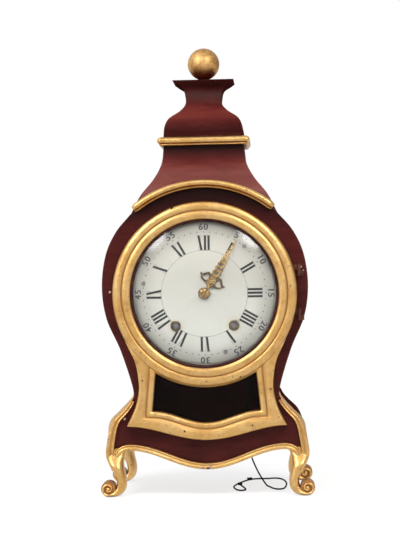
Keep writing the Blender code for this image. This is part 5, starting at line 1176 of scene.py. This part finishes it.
def footShells(near, far, leans):
    f, centre = footForm, Vector(footForm["scroll"])
    edges = [smoothLine([(x * mm, z * mm) for x, z in f[edge]], 8) for edge in ("inner", "outer")]
    pairs = list(zip(*(evened(edge, f["legSteps"]) for edge in edges)))
    count = f["scrollSteps"]
    for i in range(1, count + 1):
        turn = 2 * math.pi * f["turns"] * i / count
        away = f["radius"] - f["pitch"] * turn / (2 * math.pi)
        thick = f["thick"][0] + (f["thick"][1] - f["thick"][0]) * i / count
        way = Vector((math.cos(f["scrollFrom"] + turn), math.sin(f["scrollFrom"] + turn)))
        pairs.append((tuple(centre + way * away), tuple(centre + way * max(away - thick, f["thinnest"]))))
    shy = [f["lean"] * eased(*f["leanFrom"], a[1]) * leans for a, _ in pairs]
    carved = [eased(*f["carvedFrom"], i) for i in range(len(pairs))]
    ribbon = ribbonShell(pairs, near, far, shy, carved)

    x, z = f["scroll"]
    deep = far - near - 2 * f["coreInset"]
    core = [(r, along, 0.1) for r, along in ((0.0, 0.0), (f["core"], 0.0), (f["core"], deep), (0.0, deep))]
    disc = lathe(core, (x, far - f["coreInset"], z), 48, "Y")
    disc["verts"] = [(*p[:2], max(p[2], 0)) for p in disc["verts"]]
    bend = [math.pi * i / 16 for i in range(17)]
    eye = [(f["eye"] * math.sin(a), f["eye"] * 0.8 * math.cos(a), 0.9) for a in bend]
    eyes = [lathe(eye, (x, y, z), 24, "Y") for y in (near + f["eyeInset"], far - f["eyeInset"])]
    return [ribbon, disc] + eyes


def makeFeet():
    f = footForm
    for where, near in (("Front", f["frontAt"]), ("Back", f["backAt"])):
        far = near + f["depth"]
        shells = footShells(near, far, 1.0 if where == "Front" else 0.0)
        for side in ("Right", "Left"):
            made = shells if side == "Right" else [mirrorShell(s) for s in shells]
            name = "foot" + where + side
            node = "foot_%s_%s" % (where.lower(), side.lower())
            addShells(name, made, 45, "gilt", "case", [node])


# the door
doorForm = {
    "back": -0.0623, "bezel": 0.126, "shoulder": -35, "waistHalf": 0.0915, "waistZ": 0.148,
    "footHalf": 0.110, "footZ": 0.095, "sag": 0.019, "under": 0.112,
    "ring": (  # the bezel's radius and height in mm, relief
        (100.6, 9.5, 0.1), (100.7, 10.5, 0.35), (101.6, 11.9, 0.7), (103.6, 13.0, 0.95),
        (106.4, 13.5, 1.0), (109.2, 13.2, 0.95), (111.4, 12.4, 0.55), (112.4, 11.7, 0.15),
        (112.9, 11.2, 0.0), (113.4, 11.6, 0.15), (114.4, 12.1, 0.55), (116.5, 12.5, 0.95),
        (119.0, 12.4, 1.0), (121.5, 11.7, 0.95), (123.6, 10.3, 0.85), (125.0, 8.3, 0.7),
        (125.8, 6.0, 0.5),
    ),
    "sill": (  # distance from the window and height in mm, relief
        (0.0, 2.2, 0.2), (0.0, 4.2, 0.35), (0.5, 5.8, 0.6), (1.8, 7.3, 0.9), (3.6, 8.2, 1.0),
        (5.4, 8.3, 0.95), (7.0, 7.8, 0.6), (8.2, 7.2, 0.2), (8.9, 6.8, 0.0), (9.6, 7.1, 0.15),
        (10.8, 7.7, 0.55),
    ),
    "flat": ((0.15, 8.4, 0.9), (0.42, 9.2, 1.0), (0.72, 9.1, 1.0), (0.90, 8.3, 0.95)),
    "ringBack": ((125.9, 0, 0.3), (106.9, 0, 0.1), (106.9, 8.95, 0), (103.0, 8.95, 0)),
    "edgeRound": 0.0007, "edge": ((7.2, 0.9), (5.6, 0.7), (0.0, 0.3)),  # height in mm, relief
    "rebate": 0.0039, "rebateEdge": ((0.0, 0.1), (2.2, 0.1)),
    "lowSide": ((0.26, 0.40), (0.60, 0.80)), "highSide": ((0.50, 0.25), (0.78, 0.62)),  # shares up and across
    "tuck": (0.0012, -0.0010), "tuckTurn": 0.14,  # where the side runs in under the bezel
    "bead": (  # the painted bead that holds the glass; its near-black tone is painted shade for the gap under the bezel
        (97.5, 10.42), (97.75, 10.85), (98.6, 11.1), (99.8, 11.15), (101.0, 11.0), (101.0, 9.9),
        (100.2, 9.62), (98.8, 10.05),
    ),
}
glassForm = {"base": 8.7, "rise": 17.0, "thick": 1.6, "spring": 102.4, "rim": 106.5}  # in mm


def doorSide():  # the right side of the door from its foot corner up to the bezel
    d, a = doorForm, math.radians(doorForm["shoulder"])
    higher, shoulder = arcLine(d["bezel"], a + d["tuckTurn"], a, 1)
    waist, foot = (d["waistHalf"], d["waistZ"]), (d["footHalf"], d["footZ"])
    points = [foot] + [between(foot, waist, *share) for share in d["lowSide"]] + [waist]
    points += [between(waist, shoulder, *share) for share in d["highSide"]]
    points += [tuple(Vector(shoulder) + Vector(d["tuck"])), higher]
    return smoothLine(points, 8) + arcLine(d["under"], a, a, 1)[:1]


def doorLoop():  # top, left, foot and right of the frame below the bezel, going round
    d, n = doorForm, loopCounts
    first = math.radians(d["shoulder"])
    top = arcLine(d["under"], first, -math.pi - first, n["top"])
    foot = sagLine(d["footHalf"], d["footZ"], d["sag"], n["foot"])
    right = evened(doorSide(), n["side"] + 1)
    left = [(-x, z) for x, z in right[::-1]]
    return [p for side in (top, left, foot, right) for p in side[:-1]]


def makeDoor():
    d, g = doorForm, glassForm
    ring = [(r * mm, h * mm, unitShare(high)) for r, h, high in [*smoothLine(d["ring"], 3), *d["ringBack"]]]
    bezel = lathe(ring, (0, d["back"], dialZ), 192, "Y")

    window, outer = windowLoop(), doorLoop()
    layers = []  # a loop, its height in mm and its relief
    for away, height, high in smoothLine(d["sill"], 2):
        layers.append((shifted(window, -max(away, 0) * mm, True), height, high))
    sill = layers[-1][0]
    for share, height, high in d["flat"]:
        layers.append(([tuple(Vector(a).lerp(Vector(b), share)) for a, b in zip(sill, outer)], height, high))
    rims = (shifted(outer, d["edgeRound"], True), outer, outer)
    layers += [(loop, *edge) for loop, edge in zip(rims, d["edge"])]
    rebate = shifted(window, -d["rebate"], True)
    layers += [(rebate, *edge) for edge in d["rebateEdge"]]
    rows = []
    for i in range(len(window)):
        rows.append([(loop[i][0], d["back"] - height * mm, loop[i][1]) for loop, height, _ in layers])
    flat = lattice(rows, closed=True, relief=[unitShare(layer[2]) for layer in layers])
    addShells("doorFrame", [bezel, flat], 48, "gilt", "door", ["door_frame"])

    shares = [i / 30 for i in range(31)]
    outside = [(g["spring"] * s, g["base"] + g["rise"] * (1 - s * s)) for s in shares]
    lower, narrower = g["base"] - g["thick"], g["spring"] - g["thick"]
    inside = [(narrower * s, lower + g["rise"] * (1 - s * s)) for s in shares]
    bowl = outside + [(g["rim"], g["base"]), (g["rim"], lower)] + inside[::-1]
    for name, profile, turns, finish, slot, replaced in (
        ("dialGlass", bowl, 128, "glass", "glass", ["dial_glass"]),
        ("glassBead", d["bead"], 160, "reveal", "lacquer", []),
    ):
        shell = lathe([(r * mm, h * mm) for r, h in profile], (0, d["back"], dialZ), turns, "Y")
        addShells(name, [shell], 60, finish, "door", replaced)


makeCase()
makeCrown()
makeMouldings()
makeFeet()
makeDoor()
print("case, crown, mouldings, feet and door made")


# the dial
dialForm = {
    "radius": 0.097, "edgeY": -0.0643, "rise": 0.008, "thick": 0.002, "edgeEase": 0.0004, "bore": 0.0065,
    "keyHole": 0.0069, "chapter": (0.0588, 0.0785), "stroke": 0.0030, "pitch": 0.0048, "hair": 0.00035,
    "dots": 0.0832, "dot": 0.00085, "circleGap": 0.0004, "circleHalf": 0.00016, "ink": 0.00006,
    "minutes": 0.0862, "figure": 0.0122, "figureSpace": 1.15, "figureBold": 0.00010, "pen": 0.00030,
    "bush": (  # radius and height over the enamel in mm
        (6.9, -1.0), (6.9, 0.05), (7.0, 0.28), (7.3, 0.34), (7.55, 0.22), (7.6, 0.0), (7.6, -0.4),
    ),
}


def domeY(r):  # the enamel's face
    d = dialForm
    return d["edgeY"] - d["rise"] * (1 - (r / d["radius"]) ** 2)


def onDial(u, v, turn, proud):  # across and out from the middle, turned clockwise, onto the dome
    x = u * math.cos(turn) + v * math.sin(turn)
    z = v * math.cos(turn) - u * math.sin(turn)
    return (x, domeY(math.hypot(u, v)) - proud, dialZ + z)


def inkStroke(a, b, wide, turn, steps=6):
    ink = dialForm["ink"]
    start, way = Vector(a), Vector(b) - Vector(a)
    left = Vector((-way.y, way.x)).normalized() * wide / 2
    rows = []
    for i in range(steps + 1):
        spot = start + way * i / steps
        corners = ((left, ink), (-left, ink), (-left, -ink), (left, -ink))
        rows.append([onDial(*(spot + aside), turn, proud) for aside, proud in corners])
    return lattice(rows)


romanHours = ("XII", "I", "II", "III", "IIII", "V", "VI", "VII", "VIII", "IX", "X", "XI")
romanForm = {"room": {"I": 1.0, "V": 1.9, "X": 1.9}, "lean": 0.92, "serif": 0.85}  # pitch, stroke shares


def romanShells():  # thick strokes in black, hairlines and serifs in grey
    d = dialForm
    foot, head = d["chapter"]
    thick, thin = [], []
    room = romanForm["room"]
    for hour, word in enumerate(romanHours):
        turn = math.pi * hour / 6
        across = -sum(room[letter] for letter in word) / 2
        for letter in word:
            middle = (across + room[letter] / 2) * d["pitch"]
            lean = (room[letter] - 1.0) / 2 * d["pitch"] * romanForm["lean"]
            low = lean if letter == "X" else 0.0
            ends = ((middle + low, foot), (middle - lean, head))
            thick.append(inkStroke(*ends, d["stroke"], turn))
            if letter != "I":
                thin.append(inkStroke((middle - low, foot), (middle + lean, head), d["hair"], turn))
            half = d["stroke"] * romanForm["serif"]
            thin += [inkStroke((u - half, v), (u + half, v), d["hair"], turn, 2) for u, v in ends]
            across += room[letter]
    return thick, thin


def minuteFigures():  # 5 to 60 round the edge, feet towards the middle
    d = dialForm
    shells = []
    for k in range(1, 13):
        text = bpy.data.curves.new("figure", "FONT")
        text.body = str(5 * k)
        text.align_x = "CENTER"
        text.size = d["figure"]
        text.space_character = d["figureSpace"]
        text.offset = d["figureBold"]
        text.extrude = d["ink"]
        text.resolution_u = 3
        mesh = bakedMesh(placed("figure", text), "figure%d" % k)
        turn = math.pi * k / 6
        faces = [tuple(face.vertices) for face in mesh.polygons]
        for nudge in (-1, 1):  # drawn twice, so upright strokes come out broad and level ones fine
            aside = nudge * d["pen"]
            verts = [onDial(v.co.x + aside, d["minutes"] + v.co.y, turn, v.co.z) for v in mesh.vertices]
            shells.append({"verts": verts, "faces": faces, "relief": [0.5] * len(verts)})
        bpy.data.meshes.remove(mesh)
    return shells


def chapterCircle():
    d = dialForm
    middle = d["chapter"][0] - d["circleGap"]
    corners = ((-1, 1), (1, 1), (1, -1), (-1, -1))
    ring = [(middle + u * d["circleHalf"], v * d["ink"] - domeY(middle)) for u, v in corners]
    return lathe(ring, (0, 0, dialZ), 160, "Y")


def dotNodes():  # a ring of flat dots: count, ring radius, dot radius, depth and place
    tree = bpy.data.node_groups.new("dotRing", "GeometryNodeTree")
    tree.interface.new_socket("Geometry", in_out="OUTPUT", socket_type="NodeSocketGeometry")
    for label, kind in (
        ("Count", "NodeSocketInt"), ("Ring", "NodeSocketFloat"), ("Dot", "NodeSocketFloat"),
        ("Depth", "NodeSocketFloat"), ("Place", "NodeSocketVector"), ("Finish", "NodeSocketMaterial"),
    ):
        tree.interface.new_socket(label, in_out="INPUT", socket_type=kind)
    given, out = tree.nodes.new("NodeGroupInput"), tree.nodes.new("NodeGroupOutput")
    circle = tree.nodes.new("GeometryNodeMeshCircle")
    disc = tree.nodes.new("GeometryNodeMeshCylinder")
    disc.inputs["Vertices"].default_value = 14
    spread = tree.nodes.new("GeometryNodeInstanceOnPoints")
    upright = tree.nodes.new("GeometryNodeTransform")
    upright.inputs["Rotation"].default_value = (math.pi / 2, 0, 0)
    real = tree.nodes.new("GeometryNodeRealizeInstances")
    coat = tree.nodes.new("GeometryNodeSetMaterial")
    for start, end in (
        (given.outputs["Count"], circle.inputs["Vertices"]), (given.outputs["Ring"], circle.inputs["Radius"]),
        (given.outputs["Dot"], disc.inputs["Radius"]), (given.outputs["Depth"], disc.inputs["Depth"]),
        (circle.outputs["Mesh"], spread.inputs["Points"]), (disc.outputs["Mesh"], spread.inputs["Instance"]),
        (spread.outputs[0], upright.inputs["Geometry"]),
        (given.outputs["Place"], upright.inputs["Translation"]),
        (upright.outputs[0], real.inputs[0]), (real.outputs[0], coat.inputs["Geometry"]),
        (given.outputs["Finish"], coat.inputs["Material"]), (coat.outputs[0], out.inputs[0]),
    ):
        tree.links.new(start, end)
    return tree


def ringOfDots(name, **values):
    tree = dotNodes()
    holder = placed(name, bpy.data.meshes.new(name))
    step = holder.modifiers.new("dots", "NODES")
    step.node_group = tree
    for item in tree.interface.items_tree:
        if item.in_out == "INPUT":
            step[item.identifier] = values[item.name]
    return bakedMesh(holder, name)


def holedMesh(name, mesh, holes):  # round holes right through, from the front
    holder = placed(name, mesh)
    reach, middle = 0.05, -0.065
    cutters = []
    for x, z, radius in holes:
        ring = [(radius, -reach), (radius, reach), (0.0, reach), (0.0, -reach)]
        drill = placed("drill", shellMesh("drill", [lathe(ring, (x, middle, z), 48, "Y")]))
        cutters.append(drill)
        step = holder.modifiers.new("hole", "BOOLEAN")
        step.object = drill
        step.solver = "EXACT"
    made = bakedMesh(holder, name)
    for drill in cutters:
        bpy.data.objects.remove(drill)
    return made


def makeDial():
    d = dialForm
    front = [(d["radius"] * i / 30, -domeY(d["radius"] * i / 30)) for i in range(31)]
    back = [(r, along - d["thick"]) for r, along in front]
    radius, edge = front.pop()
    front += [(radius - d["edgeEase"], edge), (radius, edge - d["edgeEase"])]
    dish = lathe(front + back[::-1], (0, 0, dialZ), 128, "Y")
    keys = [(side * keyX, keyZ) for side in (-1, 1)]
    holes = [(0, dialZ, d["bore"])] + [(x, z, d["keyHole"]) for x, z in keys]
    mesh = holedMesh("dialPlate", shellMesh("dialPlate", [dish], 50), holes)
    mesh.set_sharp_from_angle(angle=math.radians(35))
    addPiece("dialPlate", mesh, "enamel", "case", ["dial"])

    thick, thin = romanShells()
    addShells("hourFigures", thick, 40, "ink", "case")
    greyPrint = thin + minuteFigures() + [chapterCircle()]
    addShells("minuteFigures", greyPrint, 40, "paleInk", "case")
    dots = ringOfDots(
        "minuteDots", Count=60, Ring=d["dots"], Dot=d["dot"], Depth=2 * d["ink"], Finish=finishes["paleInk"],
        Place=(0, domeY(d["dots"]), dialZ),
    )
    addPiece("minuteDots", dots, "paleInk", "case")

    rings = []
    for x, z in keys:
        face = domeY(math.hypot(x, z - dialZ))
        rings.append(lathe([(r * mm, h * mm, 0.6) for r, h in d["bush"]], (x, face, z), 40, "Y"))
    addShells("keyBushes", rings, 40, "bush", "case")


# the hands
handForm = {
    "hourTurn": math.radians(32.7), "minuteTurn": math.radians(32.0), "hourY": -0.0748, "minuteY": -0.0773,
    "thick": 0.0010, "bevel": 0.00012, "dish": 0.006, "dishAt": 0.081, "nutY": -0.0776,
    "hourBoss": (8.0, 5.3), "minuteBoss": (7.0, 3.5),
    "hourRose": (20.6, 3.1, 1.45, 4, 0.5),  # place, reach and hole of a ring of holes, their count and turn
    "minuteRose": (19.6, 3.2, 1.2, 5, 0),
    "hourSlots": ((33.2, 2.6, 2.2), (39.2, 2.2, 2.2), (45.0, 1.5, 2.0)),  # place, half width, half length
    "minuteSlots": {"count": 7, "first": 32.4, "step": 6.6, "half": 3.2, "taper": 0.40, "halfLong": 2.2},
    "nut": (  # radius and height in mm
        (0.0, 0.0), (5.0, 0.0), (5.0, 0.7), (4.6, 1.2), (3.4, 1.6), (2.4, 1.6), (2.2, 1.25), (1.7, 1.25),
        (1.4, 1.5), (0.0, 1.6),
    ),
    "hour": (  # half width and distance out, in mm
        (1.9, 8.5), (2.4, 10.8), (6.2, 13.0), (10.5, 14.0), (14.2, 15.8), (17.0, 18.8), (19.8, 22.4),
        (15.8, 22.6), (13.6, 25.0), (11.2, 27.8), (8.6, 28.8), (6.2, 27.6), (5.2, 29.8), (6.6, 33.2),
        (4.8, 35.8), (5.8, 39.2), (3.8, 41.8), (4.4, 45.0), (2.6, 48.0), (1.6, 52.5), (0.35, 58.0),
    ),
    "minute": (
        (1.6, 8.0), (1.8, 12.6), (4.4, 15.4), (5.9, 19.6), (4.5, 23.8), (2.4, 26.0), (4.4, 28.8),
        (5.9, 32.2), (4.3, 35.4), (6.0, 38.8), (4.2, 42.2), (5.4, 45.8), (3.7, 49.0), (4.6, 52.4),
        (3.1, 55.6), (3.7, 59.0), (2.5, 62.2), (2.9, 65.5), (1.9, 68.7), (2.2, 72.0), (1.4, 75.5),
        (1.0, 79.0), (0.3, 85.0),
    ),
    "wing": ((6.6, 17.6), (10.8, 16.8), (14.6, 19.2), (12.2, 21.6), (9.8, 25.2), (6.8, 23.4)),
}


def holeRing(place, reach, hole, count, turn):  # round holes about a point on a hand's middle line
    angles = [2 * math.pi * (k + turn) / count for k in range(count)]
    return [ovalLoop(reach * math.sin(a), place + reach * math.cos(a), hole, hole, 14) for a in angles]


def handMesh(name, edge, boss, holes, turn, face):  # a flat pierced hand, bent a little towards the dial
    f = handForm
    outer, bore = boss
    neck = math.asin(edge[0][0] / outer)
    swing = [(math.pi - neck) * i / 16 for i in range(17)]
    side = [(outer * math.sin(a), -outer * math.cos(a)) for a in swing] + smoothLine(edge, 3)[1:]
    outline = side + [(-u, v) for u, v in side[:0:-1]]
    loops = [outline, ovalLoop(0, 0, bore, bore, 32)] + holes
    loops = [[(u * mm, v * mm) for u, v in loop] for loop in loops]
    mesh = plateMesh(name, loops, -f["thick"], 0.0, f["bevel"])
    for vert in mesh.vertices:
        u, y, v = vert.co
        x, _, z = onDial(u, v, turn, 0)
        vert.co = (x, face + f["thick"] + y + f["dish"] * (math.hypot(u, v) / f["dishAt"]) ** 2, z)
    return mesh


def makeHands():
    f, s = handForm, handForm["minuteSlots"]
    holes = [ovalLoop(0, *slot) for slot in f["hourSlots"]] + holeRing(*f["hourRose"])
    for side in (1, -1):
        line = [(side * u, v) for u, v in f["wing"]]
        holes.append(smoothLine(line + line[:1], 4)[:-1])
    mesh = handMesh("hourHand", f["hour"], f["hourBoss"], holes, f["hourTurn"], f["hourY"])
    addPiece("hourHand", mesh, "hourHand", "hour", ["hour_hand"])
    holes = holeRing(*f["minuteRose"])
    for i in range(s["count"]):
        holes.append(ovalLoop(0, s["first"] + s["step"] * i, s["half"] - s["taper"] * i, s["halfLong"]))
    mesh = handMesh("minuteHand", f["minute"], f["minuteBoss"], holes, f["minuteTurn"], f["minuteY"])
    addPiece("minuteHand", mesh, "hands", "centre", ["minute_hand"])
    nut = lathe([(r * mm, h * mm, 0.7) for r, h in f["nut"]], (0, f["nutY"], dialZ), 48, "Y")
    addShells("handNut", [nut], 35, "hands", "centre", ["hand_nut"])


makeDial()
makeHands()
print("dial and hands made")
